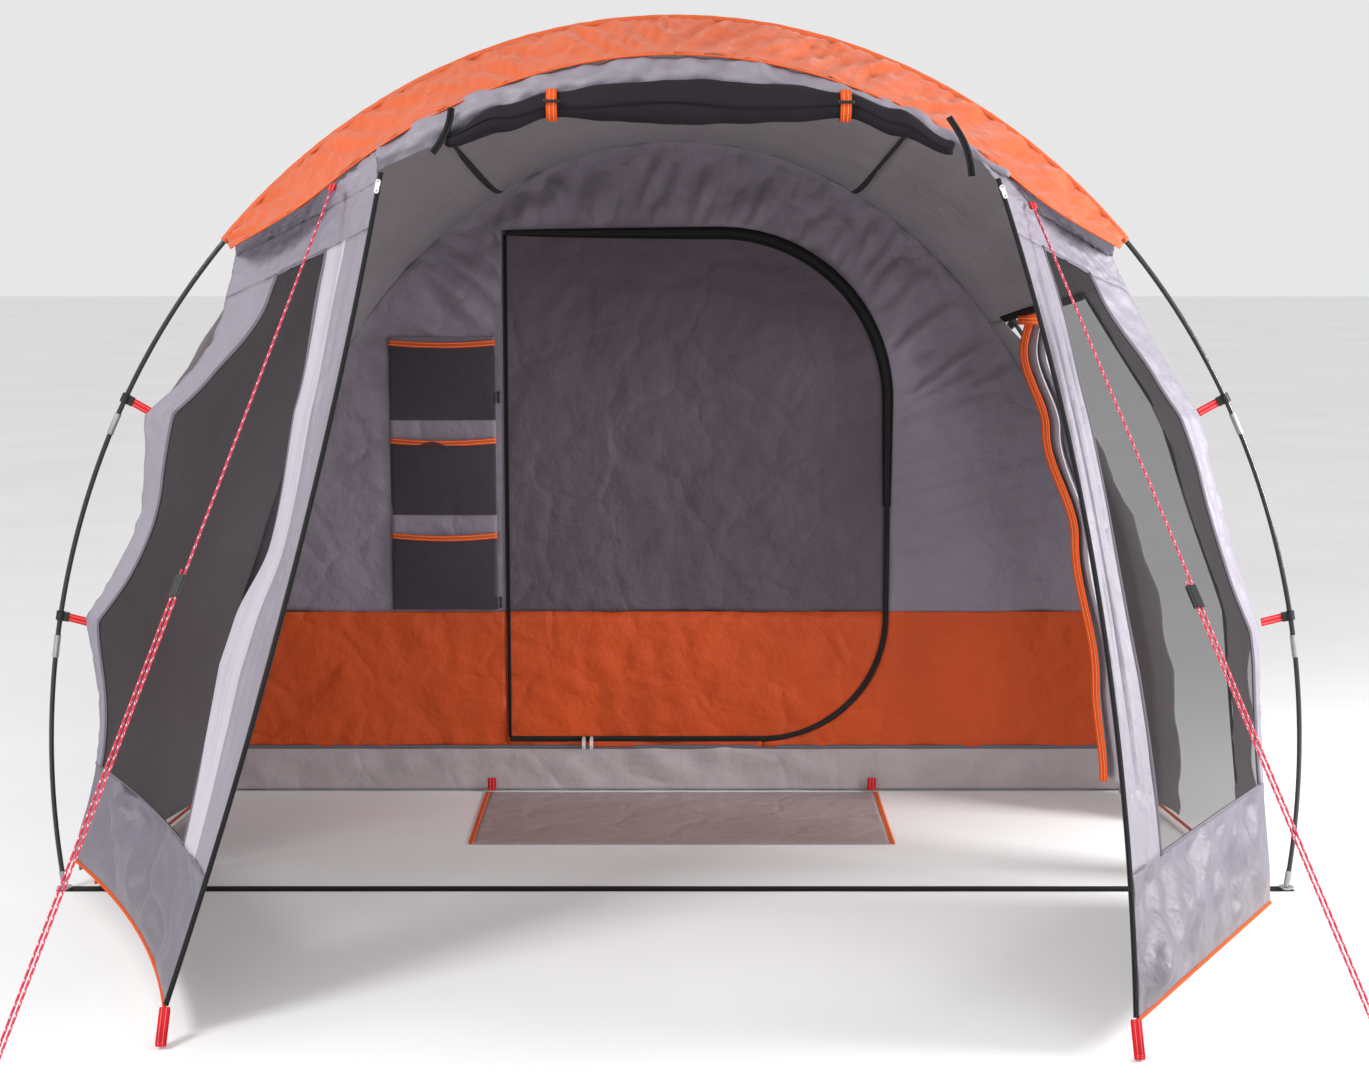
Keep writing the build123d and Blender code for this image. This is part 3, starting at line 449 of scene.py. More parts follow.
def tube_mesh(points, radius, sides=12, closed=False):
    """Round tube along a path; radius may be a function of (share along, angle)."""
    vertices, faces, uvs = [], [], []
    count = len(points)
    lift = Vector((0.0, 0.0, 1.0))
    run = 0.0
    for index, point in enumerate(points):
        before = points[index - 1] if index or closed else point
        after = points[(index + 1) % count] if index < count - 1 or closed else point
        tangent = (after - before).normalized()
        lift = (lift - tangent * lift.dot(tangent)).normalized()
        side = tangent.cross(lift)
        if index:
            run += (point - points[index - 1]).length
        for k in range(sides):
            turn = tau * k / sides
            reach = radius(run, turn) if callable(radius) else radius
            vertices.append(point + (side * cos(turn) + lift * sin(turn)) * reach)
            uvs.append((k / sides, run))
    for index in range(count if closed else count - 1):
        a, b = index * sides, ((index + 1) % count) * sides
        for k in range(sides):
            faces.append((a + k, a + (k + 1) % sides, b + (k + 1) % sides, b + k))
    if not closed:
        faces.append(tuple(reversed(range(sides))))
        faces.append(tuple(range((count - 1) * sides, count * sides)))
    return vertices, faces, uvs


def joined(parts):
    """Several (vertices, faces, uvs) as one."""
    vertices, faces, uvs = [], [], []
    for more_vertices, more_faces, more_uvs in parts:
        base = len(vertices)
        vertices += more_vertices
        uvs += more_uvs
        faces += [tuple(base + k for k in face) for face in more_faces]
    return vertices, faces, uvs


def trim_piece(name, parts, finish, nodes=(), body="tent"):
    """Tapes, tubes and small mouldings as one piece."""
    return finish_piece(name, build_mesh(name, *joined(parts)), finish, body, nodes)


def lathe(centre, axis, profile, sides=20):
    """Turned form: profile is (place along the axis, radius)."""
    axis = axis.normalized()
    side = axis.cross(Vector((0.3, 0.9, 0.2))).normalized()
    other = axis.cross(side)
    vertices, faces, uvs = [], [], []
    for place, radius in profile:
        for k in range(sides):
            turn = tau * k / sides
            vertices.append(centre + axis * place + (side * cos(turn) + other * sin(turn)) * radius)
            uvs.append((k / sides, place))
    for row in range(len(profile) - 1):
        a, b = row * sides, (row + 1) * sides
        for k in range(sides):
            faces.append((a + k, a + (k + 1) % sides, b + (k + 1) % sides, b + k))
    faces.append(tuple(reversed(range(sides))))
    faces.append(tuple(range((len(profile) - 1) * sides, len(profile) * sides)))
    return vertices, faces, uvs


def creases(seed, long_scale, short_scale, depth):
    """Soft folds that run along one direction of a panel."""
    def ripple(first, second, point):
        a, b = first * long_scale, second * short_scale
        value = wave(a, b, seed) + 0.5 * wave(a * 2.1, b * 2.3, seed + 7.0)
        return depth * (abs(value) * 2.0 - 0.6)
    return ripple


def ground_wave(seed, depth):
    return lambda first, second, point: depth * wave(point.x * 7.0, point.y * 7.0, seed)


WHOLE = (0.0, 1.0)
SIDES = ((-1, "left"), (1, "right"))
UP, FACING = Vector((0.0, 0.0, 1.0)), Vector((0.0, -1.0, 0.0))

# ---- shapes of the tent, as in the CAD ----------------------------------------------
HOOP_HALF_WIDTH, HOOP_RISE, HOOP_CENTRE_Z = 1.380, 1.628, 0.272
CABIN_HALF_WIDTH, CABIN_HALF_DEPTH, CABIN_MIDDLE_Y, CABIN_HEIGHT = 1.200, 1.050, 1.900, 1.745
INNER_FRONT_Y, INNER_HALF_WIDTH, INNER_HEIGHT = 0.900, 1.170, 1.678
BACK_HALF_WIDTH, BACK_HALF_DEPTH, BACK_HEIGHT = 1.130, 0.970, 1.655
ROOF_SEAM, FOOT_ANGLE, BAND_END = 68.0, -9.2, 45.5
# half width, half depth, height, and how far each panel falls short of flat in its middle
FLY_DOME = (CABIN_HALF_WIDTH, CABIN_HALF_DEPTH, CABIN_HEIGHT, 0.045)
INNER_DOME = (BACK_HALF_WIDTH, BACK_HALF_DEPTH, BACK_HEIGHT, 0.040)

def mirrored(angle, curve):
    if angle <= 90.0:
        return curve(angle)
    point = curve(180.0 - angle)
    return Vector((-point.x, point.y, point.z))


def hoop_edge(angle):
    turn = radians(FOOT_ANGLE + angle * (90.0 - FOOT_ANGLE) / 90.0)
    inset = 0.060 - 0.040 * sin(radians(angle)) ** 2
    return Vector(((HOOP_HALF_WIDTH - inset) * cos(turn), 0.012,
                   HOOP_CENTRE_Z + (HOOP_RISE - inset) * sin(turn)))


def pole_edge(angle):
    turn = radians(angle)
    return Vector((CABIN_HALF_WIDTH * cos(turn), CABIN_MIDDLE_Y - CABIN_HALF_DEPTH * cos(turn),
                   CABIN_HEIGHT * sin(turn)))


def porch_roof(angle, share):
    turn = radians(angle)
    sag = 0.120 * sin(turn) ** 2 * 4.0 * share * (1.0 - share)
    return (lerp(mirrored(angle, hoop_edge), mirrored(angle, pole_edge), share)
            - Vector((cos(turn), 0.0, sin(turn))) * sag)


def dome_side(dome, side):
    """Side of a dome: angle up from the ground, across from its front (-1) to its rear (1)."""
    half_width, half_depth, height, hollow = dome

    def surface(angle, across):
        turn = radians(angle)
        reach = (half_width - hollow * (1.0 - across ** 2)) * cos(turn)
        return Vector((side * reach, CABIN_MIDDLE_Y + across * half_depth * cos(turn),
                       height * sin(turn)))
    return surface


def dome_rear(dome):
    """Rear of a dome: angle up from the ground, across from its left (-1) to its right (1)."""
    half_width, half_depth, height, hollow = dome

    def surface(angle, across):
        turn = radians(angle)
        depth = (half_depth - hollow * (1.0 - across ** 2)) * cos(turn)
        return Vector((across * half_width * cos(turn), CABIN_MIDDLE_Y + depth,
                       height * sin(turn)))
    return surface


def inner_roof(angle, share):
    turn = radians(angle)
    front = Vector((INNER_HALF_WIDTH * cos(turn), INNER_FRONT_Y + 0.004, INNER_HEIGHT * sin(turn)))
    back = Vector((BACK_HALF_WIDTH * cos(turn), CABIN_MIDDLE_Y - BACK_HALF_DEPTH * abs(cos(turn)),
                   BACK_HEIGHT * sin(turn)))
    return lerp(front, back, share)


def band_surface(angle, share):
    open_up = min(1.0, (90.0 - abs(90.0 - angle) - BAND_END) / 11.0)
    depth = 0.070 + 0.150 * sin(open_up * pi / 2.0)
    drop = 0.018 + 0.047 * sin(open_up * pi / 2.0) - 0.010 * sin(radians(angle)) ** 8
    scale = 1.0 - drop * share
    return Vector((scale * HOOP_HALF_WIDTH * cos(radians(angle)), -0.0095 - depth * share,
                   HOOP_CENTRE_Z + scale * HOOP_RISE * sin(radians(angle))))


def panel_edge(side, rise, inset, scallop):
    turn = radians(-7.4 + 53.4 * rise)
    between_clips = abs(sin(pi * 3.0 * (rise - 0.042 * sin(pi * rise))))
    inset += 0.030 * sin(pi * rise) + scallop * between_clips
    return Vector((side * (HOOP_HALF_WIDTH - inset) * cos(turn), -0.016 - 0.008 * rise,
                   HOOP_CENTRE_Z + (HOOP_RISE - inset) * sin(turn) + 0.010 * (1.0 - rise)))


def fly_porch(angle, share):
    """The porch cloth as it hangs: drawn in to the inner tent's arch where it crosses it."""
    point = porch_roof(angle, share)
    turn = radians(angle)
    crossing = (INNER_FRONT_Y - 0.012) / (mirrored(angle, pole_edge).y - 0.012)
    c, s = cos(turn), sin(turn)
    wide, high = INNER_HALF_WIDTH - 0.004, INNER_HEIGHT - 0.004
    a = (c / wide) ** 2 + (s / high) ** 2
    b = point.x * c / wide ** 2 + point.z * s / high ** 2
    rest = (point.x / wide) ** 2 + (point.z / high) ** 2 - 1.0
    gap = (b - sqrt(max(0.0, b * b - a * rest))) / a
    near = exp(-((share - crossing) / 0.17) ** 2) * min(1.0, (1.0 - share) / 0.04)
    point = point - Vector((c, 0.0, s)) * (max(0.0, gap) * near)
    side, lift = (1, angle) if angle <= 90.0 else (-1, 180.0 - angle)
    rise = (FOOT_ANGLE + lift * (90.0 - FOOT_ANGLE) / 90.0 + 7.4) / 53.4
    if rise < 1.15 and share < 1.0:
        pull = 1.0 if rise < 1.0 else 1.0 - (rise - 1.0) / 0.15
        inset, scallop = (0.038, 0.064) if side < 0 else (0.060, 0.026)
        edge = panel_edge(side, max(0.0, min(1.0, rise)), inset, scallop) - porch_roof(angle, 0.0)
        point = point + Vector((edge.x, 0.0, 0.0)) * (pull * (1.0 - share) ** 2)
    return point


def panel_outer(side, rise):
    if side < 0:
        return panel_edge(side, rise, 0.034, 0.060)
    foot = Vector((1.285, -0.160, 0.020)) - panel_edge(side, 0.0, 0.044, 0.022)
    return panel_edge(side, rise, 0.044, 0.022) + foot * (1.0 - rise) ** 3


ZIP_ENDS = {-1: (Vector((-0.923, -0.962, 0.062)), Vector((-0.583, -0.350, 1.572)), 0.030),
            1: (Vector((0.828, -1.022, 0.060)), Vector((0.643, -0.350, 1.560)), 0.060)}


def zip_arc(side):
    foot, top, bow = ZIP_ENDS[side]
    chord = (top - foot).normalized()
    bow_way = (Vector((1.0, 0.0, 0.0)) - chord * chord.x).normalized()
    half = (top - foot).length / 2.0
    radius = (half ** 2 + bow ** 2) / (2.0 * bow)
    centre = (foot + top) / 2.0 - bow_way * (radius - bow)
    return centre, radius, chord, bow_way, asin(half / radius)


def zip_line(side, rise):
    centre, radius, chord, bow_way, half_angle = zip_arc(side)
    turn = (2.0 * rise - 1.0) * half_angle
    return centre + (bow_way * cos(turn) + chord * sin(turn)) * radius


def zip_normal(side, rise):
    """Unit vector out of a door zip's front face."""
    _, _, chord, bow_way, half_angle = zip_arc(side)
    turn = (2.0 * rise - 1.0) * half_angle
    return (bow_way * cos(turn) + chord * sin(turn)).cross(chord * cos(turn) - bow_way * sin(turn))


def front_panel(side, across, rise):
    hollow = Vector((0.0, 0.045, 0.0)) * (4.0 * across * (1.0 - across) * rise)
    if side < 0:
        hollow += Vector((0.042, 0.0, 0.0)) * (4.0 * across * (1.0 - across) * (1.0 - rise) ** 4)
    return lerp(panel_outer(side, rise), zip_line(side, rise), across) + hollow


# ---- guylines -----------------------------------------------------------------------
ROPE = 0.005
STRAND_GAP, RUNNER_SHARE, TAIL, BITE = 0.009, 0.48, 0.034, 0.0015
GUYLINES = {"left": (Vector((-0.695, -0.272, 1.536)), Vector((-1.133, -1.400, 0.030))),
            "right": (Vector((0.728, -0.272, 1.500)), Vector((1.212, -1.400, 0.030)))}


def route_points(name, control):
    """The smooth line of a cord's route, close enough together to draw a rope along it."""
    curve = bpy.data.curves.new(name, "CURVE")
    curve.dimensions = "3D"
    curve.resolution_u = 12
    spline = curve.splines.new("NURBS")
    spline.points.add(len(control) - 1)
    for point, place in zip(spline.points, control):
        point.co = (*place, 1.0)
    spline.order_u = 3
    spline.use_endpoint_u = True
    holder = bpy.data.objects.new(name, curve)
    scene.collection.objects.link(holder)
    line = bpy.data.meshes.new_from_object(holder)
    coarse = [v.co.copy() for v in line.vertices]
    bpy.data.objects.remove(holder)
    step, run, points = 0.0025, 0.0, [coarse[0]]
    for start, end in zip(coarse[:-1], coarse[1:]):
        gap = (end - start).length
        while run + step <= gap:
            run += step
            points.append(lerp(start, end, run / gap))
        run -= gap
    points.append(coarse[-1])
    return points


def braid(run, turn):
    """Radius of a braided sheath."""
    around, along = turn * 4.0, run * 900.0
    return ROPE / 2.0 * (0.95 + 0.05 * sin(around + along) * sin(around - along))


def rope_piece(name, node, start, end):
    along = (end - start).normalized()
    control = [start, start + along * 0.030, lerp(start, end, 0.5), end - along * 0.030, end]
    points = route_points(name + "_route", control)
    piece = trim_piece(name, [tube_mesh(points, braid)], "rope", [node])
    round(path_length(points), 3)
    [tuple(p) for p in points]
    return piece


for side_name, (top, foot) in GUYLINES.items():
    along = (foot - top).normalized()
    across = along.cross(Vector((0.0, 0.0, 1.0))).normalized()
    length = (foot - top).length
    loop_centre = foot + across * (STRAND_GAP / 2.0) + along * 0.0145
    circle = [loop_centre + (along * cos(t) + across * sin(t)) * 0.0125
              for t in (tau * k / 40 for k in range(40))]
    loop = trim_piece(f"guy_loop_{side_name}", [tube_mesh(circle, 0.0024, closed=True)], "rope",
                      ["guy_loops"])
    rope_piece(f"guyline_{side_name}_rope", f"guyline_{side_name}", top - along * BITE,
               foot + along * BITE)
    start = top + across * STRAND_GAP + along * (length * RUNNER_SHARE - TAIL)
    rope_piece(f"guyline_return_{side_name}_rope", f"guyline_return_{side_name}", start,
               foot + across * STRAND_GAP + along * BITE)

# ---- fly: porch roof, sides and dome -------------------------------------------------
def outward(index, point):
    """Out of the tent, for tapes sewn on its skin."""
    return (point - Vector((0.0, max(0.0, min(point.y, 1.9)), 0.25))).normalized()


def gather(seed, count, depth):
    """Small gathers that fan out from both ends of a panel's rows."""
    def ripple(first, second, point):
        pull = 0.35 + 0.65 * abs(2.0 * second - 1.0) ** 2
        value = wave(first * count, second * 2.2, seed)
        value += 0.45 * wave(first * count * 2.3, second * 4.0, seed + 3.0)
        return depth * pull * value
    return ripple


seam_roof = trim_piece("porch_roof_seams", [
    ribbon([fly_porch(a, s) for s in spaced(0.01, 0.985, 60)], outward, 0.016, thickness=0.0044)
    for a in (ROOF_SEAM, 180.0 - ROOF_SEAM)], "seam_dark")
FRONT_TO_BACK = (0.0, 0.99)
sheet_piece("porch_roof_cloth", [
    (fly_porch, (ROOF_SEAM, 180.0 - ROOF_SEAM), FRONT_TO_BACK, (70, 60))],
    "ceiling", ["porch_roof"], ripple=gather(2.0, 16.0, 0.011))
sheet_piece("porch_side_left_cloth", [
    (fly_porch, (180.0 - ROOF_SEAM, 179.4), FRONT_TO_BACK, (80, 50))],
    "ceiling", ["porch_side_left"], ripple=gather(4.0, 14.0, 0.011))
DOORWAY_TOP, DOORWAY_FRONT, DOORWAY_BACK = 47.0, 0.16, 0.64
sheet_piece("porch_side_right_cloth", [
    (fly_porch, (0.6, DOORWAY_TOP), (0.0, DOORWAY_FRONT), (70, 12)),
    (fly_porch, (0.6, DOORWAY_TOP), (DOORWAY_BACK, 0.99), (70, 20)),
    (fly_porch, (DOORWAY_TOP, ROOF_SEAM), FRONT_TO_BACK, (30, 50))],
    "ceiling", ["porch_side_right"], ripple=gather(6.0, 14.0, 0.009))
doorway_zip = [fly_porch(a, DOORWAY_FRONT) for a in spaced(2.0, DOORWAY_TOP, 60)]
doorway_zip += [fly_porch(DOORWAY_TOP, s) for s in spaced(DOORWAY_FRONT + 0.02, DOORWAY_BACK, 40)]
trim_piece("side_doorway_zip", [ribbon(doorway_zip, outward, 0.020, thickness=0.0048)], "zip")

FLY_SPANS = ((0.6, 87.0), (-0.985, 0.985), (80, 60))
for side, side_name in SIDES:
    sheet_piece(f"cabin_side_{side_name}_cloth", [(dome_side(FLY_DOME, side), *FLY_SPANS)], "fly",
                [f"cabin_side_{side_name}"], ripple=gather(8.0 + side, 15.0, 0.006))
sheet_piece("cabin_rear_cloth", [(dome_rear(FLY_DOME), *FLY_SPANS)], "fly",
            ["cabin_rear"], ripple=gather(12.0, 15.0, 0.006))

# seams of the dome run under the crossing poles
trim_piece("dome_seams", [
    ribbon([dome_side(FLY_DOME, x_side)(a, y_side) for a in spaced(1.5, 87.0, 90)], outward, 0.022,
           thickness=0.0030) for x_side in (-1, 1) for y_side in (-1, 1)], "seam")


def crown(first, second):
    return Vector((-0.048 + 0.096 * first, 1.863 + 0.090 * second, 1.7505))


def squared(value):
    """A circle's sine or cosine, pushed out towards a square's."""
    return max(-1.0, min(1.0, 1.5 * value))


crown_edge = [Vector((0.042 * squared(cos(t)), 1.908 + 0.039 * squared(sin(t)), 1.7515))
              for t in spaced(0.0, tau, 60)]
crown_stitch = trim_piece("crown_binding", [ribbon(crown_edge, UP, 0.010)], "seam")
sheet_piece("crown_patch_cloth", [(crown, WHOLE, WHOLE, (16, 16))], "fly_mid",
            ["crown_patch"])

# ---- orange band and sleeve ----------------------------------------------------------
def band_ripple(first, second, point):
    """Diagonal pull wrinkles, strongest by the sleeve, with a free front edge."""
    lean = (first - 0.5) * 56.0
    way = 1.0 if first > 0.5 else -1.0
    value = wave(lean + second * 3.6 * way, second * 1.4, 3.0)
    value += 0.5 * wave(lean * 2.3 - second * 3.0, second * 2.0, 9.0)
    return 0.0170 * value * (0.45 + 0.55 * sin(pi * min(1.0, second * 1.1 + 0.1)))


band_edge = [band_surface(a, 1.0) for a in spaced(46.4, 133.6, 160)]
band_hem = trim_piece("band_hem", [ribbon(band_edge, outward, 0.012, thickness=0.0036)], "hem")
sheet_piece("orange_band_cloth", [(band_surface, (46.0, 134.0), WHOLE, (220, 24))], "band",
            ["orange_band"], ripple=band_ripple)


def hoop_point(angle):
    turn = radians(angle)
    return Vector((HOOP_HALF_WIDTH * cos(turn), 0.0, HOOP_CENTRE_Z + HOOP_RISE * sin(turn)))


def sleeve_radius(run, turn):
    return 0.0092 + 0.0009 * wave(run * 38.0, cos(turn) * 1.6, sin(turn) * 1.6)


sleeve_line = [hoop_point(a) for a in spaced(BAND_END, 180.0 - BAND_END, 420)]
trim_piece("hoop_sleeve_cloth", [tube_mesh(sleeve_line, sleeve_radius, 16)], "band",
           ["hoop_sleeve"])

# ---- front panels --------------------------------------------------------------------
# a mesh window's edges: how far up the panel, and how far across it from the hoop
WINDOW_RISE = {-1: (0.145, 0.93), 1: (0.155, 0.93)}
WINDOW_OUTER = [(0.0, 0.03), (0.31, 0.05), (0.46, 0.10), (0.61, 0.11), (0.775, 0.19), (0.90, 0.33),
                (1.0, 0.42)]
WINDOW_INNER = {-1: [(0.0, 0.74), (0.18, 0.75), (0.43, 0.77), (0.53, 0.84), (0.70, 0.81),
                     (0.90, 0.70), (1.0, 0.66)],
                1: [(0.0, 0.79), (0.18, 0.80), (0.45, 0.845), (0.70, 0.83), (0.90, 0.76),
                    (1.0, 0.72)]}
SEWN = 0.985   # where a panel's cloth meets its zip


def eased(table, place):
    """Value of a table of (place, value) pairs, eased between its rows."""
    for (p0, v0), (p1, v1) in zip(table[:-1], table[1:]):
        if place <= p1:
            share = (place - p0) / (p1 - p0)
            return v0 + (v1 - v0) * share * share * (3.0 - 2.0 * share)
    return table[-1][1]


def panel_folds(seed, depth):
    """Vertical folds that hang from the band and die out at the sewn edges."""
    def ripple(first, second, point):
        value = wave(second * 5.0, first * 1.4, seed)
        value += 0.4 * wave(second * 13.0 + first * 2.0, first * 3.0, seed + 5.0)
        sewn = (min(1.0, 6.0 * first, 6.0 * (1.0 - first) + 0.2)
                * min(1.0, 12.0 * second + 0.1, 12.0 * (1.0 - second) + 0.1))
        return depth * value * sewn
    return ripple


def gusset(side):
    """Cloth from a front panel's top edge up to the band's front edge."""
    def surface(first, second):
        angle = 46.6 + 15.5 * second
        top = band_surface(angle if side > 0 else 180.0 - angle, 1.0) + Vector((0.0, 0.004, 0.0))
        return lerp(front_panel(side, SEWN * second, 0.99), top, first)
    return surface


def level(share):
    return lambda rise: share


for side, side_name in SIDES:
    low, high = WINDOW_RISE[side]

    def outer_edge(rise):
        return eased(WINDOW_OUTER, rise)

    def inner_edge(rise, side=side):
        return eased(WINDOW_INNER[side], rise)

    def flap_edge(rise, side=side):
        return 0.55 * eased(WINDOW_INNER[side], rise) + 0.45

    def strip(near, far, side=side):
        """Part of the panel between two lines that run up it."""
        def surface(rise, share):
            return front_panel(side, lerp(near(rise), far(rise), share), rise)
        return surface

    facing = Vector((side * 0.25, -1.0, 0.1)).normalized()
    window = strip(outer_edge, inner_edge)
    edges = [[window(r, a) for r in spaced(low, high, 80)] for a in WHOLE]
    edges += [[window(r, a) for a in spaced(0.0, 1.0, 40)] for r in (low, high)]
    bound = trim_piece(f"window_binding_{side_name}",
                       [ribbon(edge, facing, 0.008, thickness=0.0036) for edge in edges],
                       "seam")
    sheet_piece(f"mesh_window_{side_name}", [(window, (low, high), WHOLE, (70, 40))], "net",
                ["mesh_windows"], ripple=panel_folds(20.0 + side, 0.008))
    full_width = strip(level(0.0), level(SEWN))
    for part, patches, finish, ripple, held in (
            ("edge_strip", [(strip(level(0.0), outer_edge), (low, high), WHOLE, (110, 12))],
             "fly_mid", creases(30.0 + side, 16.0, 2.0, 0.004), "stretched"),
            ("top", [(full_width, (high, 0.99), WHOLE, (16, 60)),
                     (gusset(side), WHOLE, WHOLE, (16, 60))],
             "fly_mid", creases(34.0 + side, 3.0, 14.0, 0.004), "stretched"),
            ("flap_outer", [(strip(inner_edge, flap_edge), (low, high), WHOLE, (110, 14))],
             "fly_pale" if side < 0 else "fly_mid", panel_folds(40.0 + side, 0.012), "stretched"),
            ("flap_inner", [(strip(flap_edge, level(SEWN)), (low, high), WHOLE, (110, 14))],
             "fly_mid", panel_folds(44.0 + side, 0.012), "stretched"),
            ("low", [(full_width, (0.0, low), WHOLE, (40, 110))],
             "low_panel", panel_folds(50.0 + side, 0.055), "hung")):
        sheet_piece(f"panel_{part}_{side_name}", patches, finish,
                    [f"front_panel_{side_name}"], ripple=ripple, held=held)

zips, teeth = [], []
ZIP_POINTS = 160
for side in (-1, 1):
    line = [zip_line(side, r) for r in spaced(0.003, 1.0, ZIP_POINTS)]

    def facing(index, point, side=side):
        return zip_normal(side, index / (ZIP_POINTS - 1))
    zips.append(ribbon(line, facing, 0.010, thickness=0.003))
    for r in spaced(0.004, 0.999, 620):
        normal = zip_normal(side, r)
        centre = zip_line(side, r) + normal * 0.0022
        along = (zip_line(side, r + 0.001) - zip_line(side, r)).normalized() * 0.0008
        teeth.append(ribbon([centre - along, centre + along], normal, 0.0042, thickness=0.0014))
trim_piece("door_zip_tapes", zips, "zip", ["door_zips"])
trim_piece("door_zip_teeth", teeth, "plastic")

# ---- bound edges along the ground ----------------------------------------------------
HEM_RADIUS, HEM_Z = 0.004, 0.0115
front_corner, rear_corner = CABIN_MIDDLE_Y - CABIN_HALF_DEPTH, CABIN_MIDDLE_Y + CABIN_HALF_DEPTH
edge_x = CABIN_HALF_WIDTH + 0.009
hem_corners = ((1.296, 0.014), (edge_x, front_corner), (edge_x - 0.040, CABIN_MIDDLE_Y),
               (edge_x, rear_corner))
hem_runs = [[Vector((side * x, y, HEM_Z)) for x, y in hem_corners] for side in (-1, 1)]
hem_runs.append([Vector((0.020 - CABIN_HALF_WIDTH, rear_corner + 0.009, HEM_Z)),
                 Vector((0.0, rear_corner - 0.038, HEM_Z)),
                 Vector((CABIN_HALF_WIDTH - 0.020, rear_corner + 0.009, HEM_Z))])


def along_runs(corners, step=0.01):
    points = []
    for start, end in zip(corners[:-1], corners[1:]):
        count = max(2, int((end - start).length / step))
        points += [lerp(start, end, k / count) for k in range(count)]
    return points + [corners[-1]]


hem_parts = [tube_mesh(along_runs(run), HEM_RADIUS, 10) for run in hem_runs]
for side in (-1, 1):
    line = [front_panel(side, a, 0.0) + Vector((0.0, 0.0, -0.002)) for a in spaced(0.0, 0.99, 120)]
    hem_parts.append(tube_mesh(line, 0.0042, 10))
trim_piece("ground_hems", hem_parts, "hem", ["hems"])

# ---- webbing loops, straps and clip tapes --------------------------------------------
def stadium(centre, long_way, short_way, half_length, half_width, count=14):
    """Closed loop of webbing seen from its edge."""
    straight = half_length - half_width
    points = []
    for end in (1, -1):
        for k in range(count + 1):
            turn = pi * k / count - pi / 2.0
            points.append(centre + long_way * (end * (straight + half_width * cos(turn)))
                          + short_way * (end * half_width * sin(turn)))
    return points + [points[0]]


loop_parts = []
for side in (-1, 1):
    foot = ZIP_ENDS[side][0]
    long_way = Vector((0.0, -0.62, -0.78)).normalized()
    short_way = Vector((1.0, 0.0, 0.0)).cross(long_way)
    centre = foot + Vector((0.0, -0.0195, -0.0280))
    points = stadium(centre, long_way, short_way, 0.0360, 0.0058)
    loop_parts.append(ribbon(points, away_from(centre), 0.018, thickness=0.0022))
for top, foot in GUYLINES.values():
    along = (foot - top).normalized()
    across = along.cross(Vector((0.0, 0.0, 1.0))).normalized()
    centre = top - along * 0.0093
    points = stadium(centre, along, across.cross(along), 0.0080, 0.0030, 8)
    loop_parts.append(ribbon(points, away_from(centre), 0.014, thickness=0.0018))
trim_piece("webbing_loop_tapes", loop_parts, "web_red", ["webbing_loops"])

hoop_foot_x = HOOP_HALF_WIDTH * cos(radians(FOOT_ANGLE))
strap = [Vector((x, 0.0016 * wave(x * 3.0, 0.0, 1.0), 0.0014))
         for x in spaced(-hoop_foot_x - 0.014, hoop_foot_x + 0.014, 240)]
strap_parts = [ribbon(strap, UP, 0.0355, thickness=0.0021)]
for x_side in (-1, 1):
    for y_side in (-1, 1):
        turn = radians(41.0 * x_side * y_side)
        middle = Vector((x_side * (CABIN_HALF_WIDTH - 0.008),
                         CABIN_MIDDLE_Y + y_side * (CABIN_HALF_DEPTH - 0.008), 0.0014))
        way = Vector((cos(turn), sin(turn), 0.0))
        line = [middle + way * t for t in spaced(-0.043, 0.043, 24)]
        strap_parts.append(ribbon(line, UP, 0.0248, thickness=0.0021))
trim_piece("ground_strap_webbing", strap_parts, "web_black", ["ground_straps"])

tape_parts = []
for side in (-1, 1):
    for angle in (12.3, 30.4):
        point = hoop_point(angle if side > 0 else 180.0 - angle)
        turn = radians(angle)
        along = Vector((-side * HOOP_HALF_WIDTH * sin(turn), 0.0, HOOP_RISE * cos(turn)))
        along.normalize()
        inward = Vector((-along.z, 0.0, along.x)) if side > 0 else Vector((along.z, 0.0, -along.x))
        start, end = point + inward * 0.0150, point + inward * 0.068 + Vector((0.0, -0.0155, 0.0))
        tape_parts.append(ribbon([lerp(start, end, t) for t in spaced(0.0, 1.0, 14)],
                                 (end - start).cross(along), 0.018, thickness=0.0018))
trim_piece("clip_tapes", tape_parts, "web_red", ["clip_webbing"])

# ---- rolled-up front door -------------------------------------------------------------
ROLL_Y = -0.262
ROLL = [(-0.460, 1.638, 0.016), (-0.350, 1.680, 0.030), (-0.247, 1.708, 0.027),
        (-0.120, 1.712, 0.042), (0.040, 1.712, 0.050), (0.220, 1.710, 0.042),
        (0.344, 1.706, 0.027), (0.450, 1.672, 0.030), (0.560, 1.622, 0.016)]


def smooth_section(table, x):
    """Centre height and radius of the roll at x, eased between its sections."""
    for (x0, *low), (x1, *high) in zip(table[:-1], table[1:]):
        if x <= x1:
            share = (x - x0) / (x1 - x0)
            share = share * share * (3.0 - 2.0 * share)
            return [a + (b - a) * share for a, b in zip(low, high)]
    return list(table[-1][1:])


ROLL_TURNS = 7.5


def roll_sheet(along, wind):
    """The door cloth, wound from the middle (0) out to its free edge (1)."""
    x = ROLL[0][0] + (ROLL[-1][0] - ROLL[0][0]) * along
    z, radius = smooth_section(ROLL, x)
    turn = tau * ROLL_TURNS * wind + 0.9 * wave(x * 3.0, 0.0, 5.0)
    reach = radius * (0.10 + 0.86 * wind)
    reach *= 1.0 + 0.07 * wave(x * 16.0, cos(turn) * 1.2, sin(turn) * 1.2)
    return Vector((x + 0.010 * wind * wave(turn, x * 4.0, 2.0),
                   ROLL_Y + reach * cos(turn), z + reach * sin(turn)))


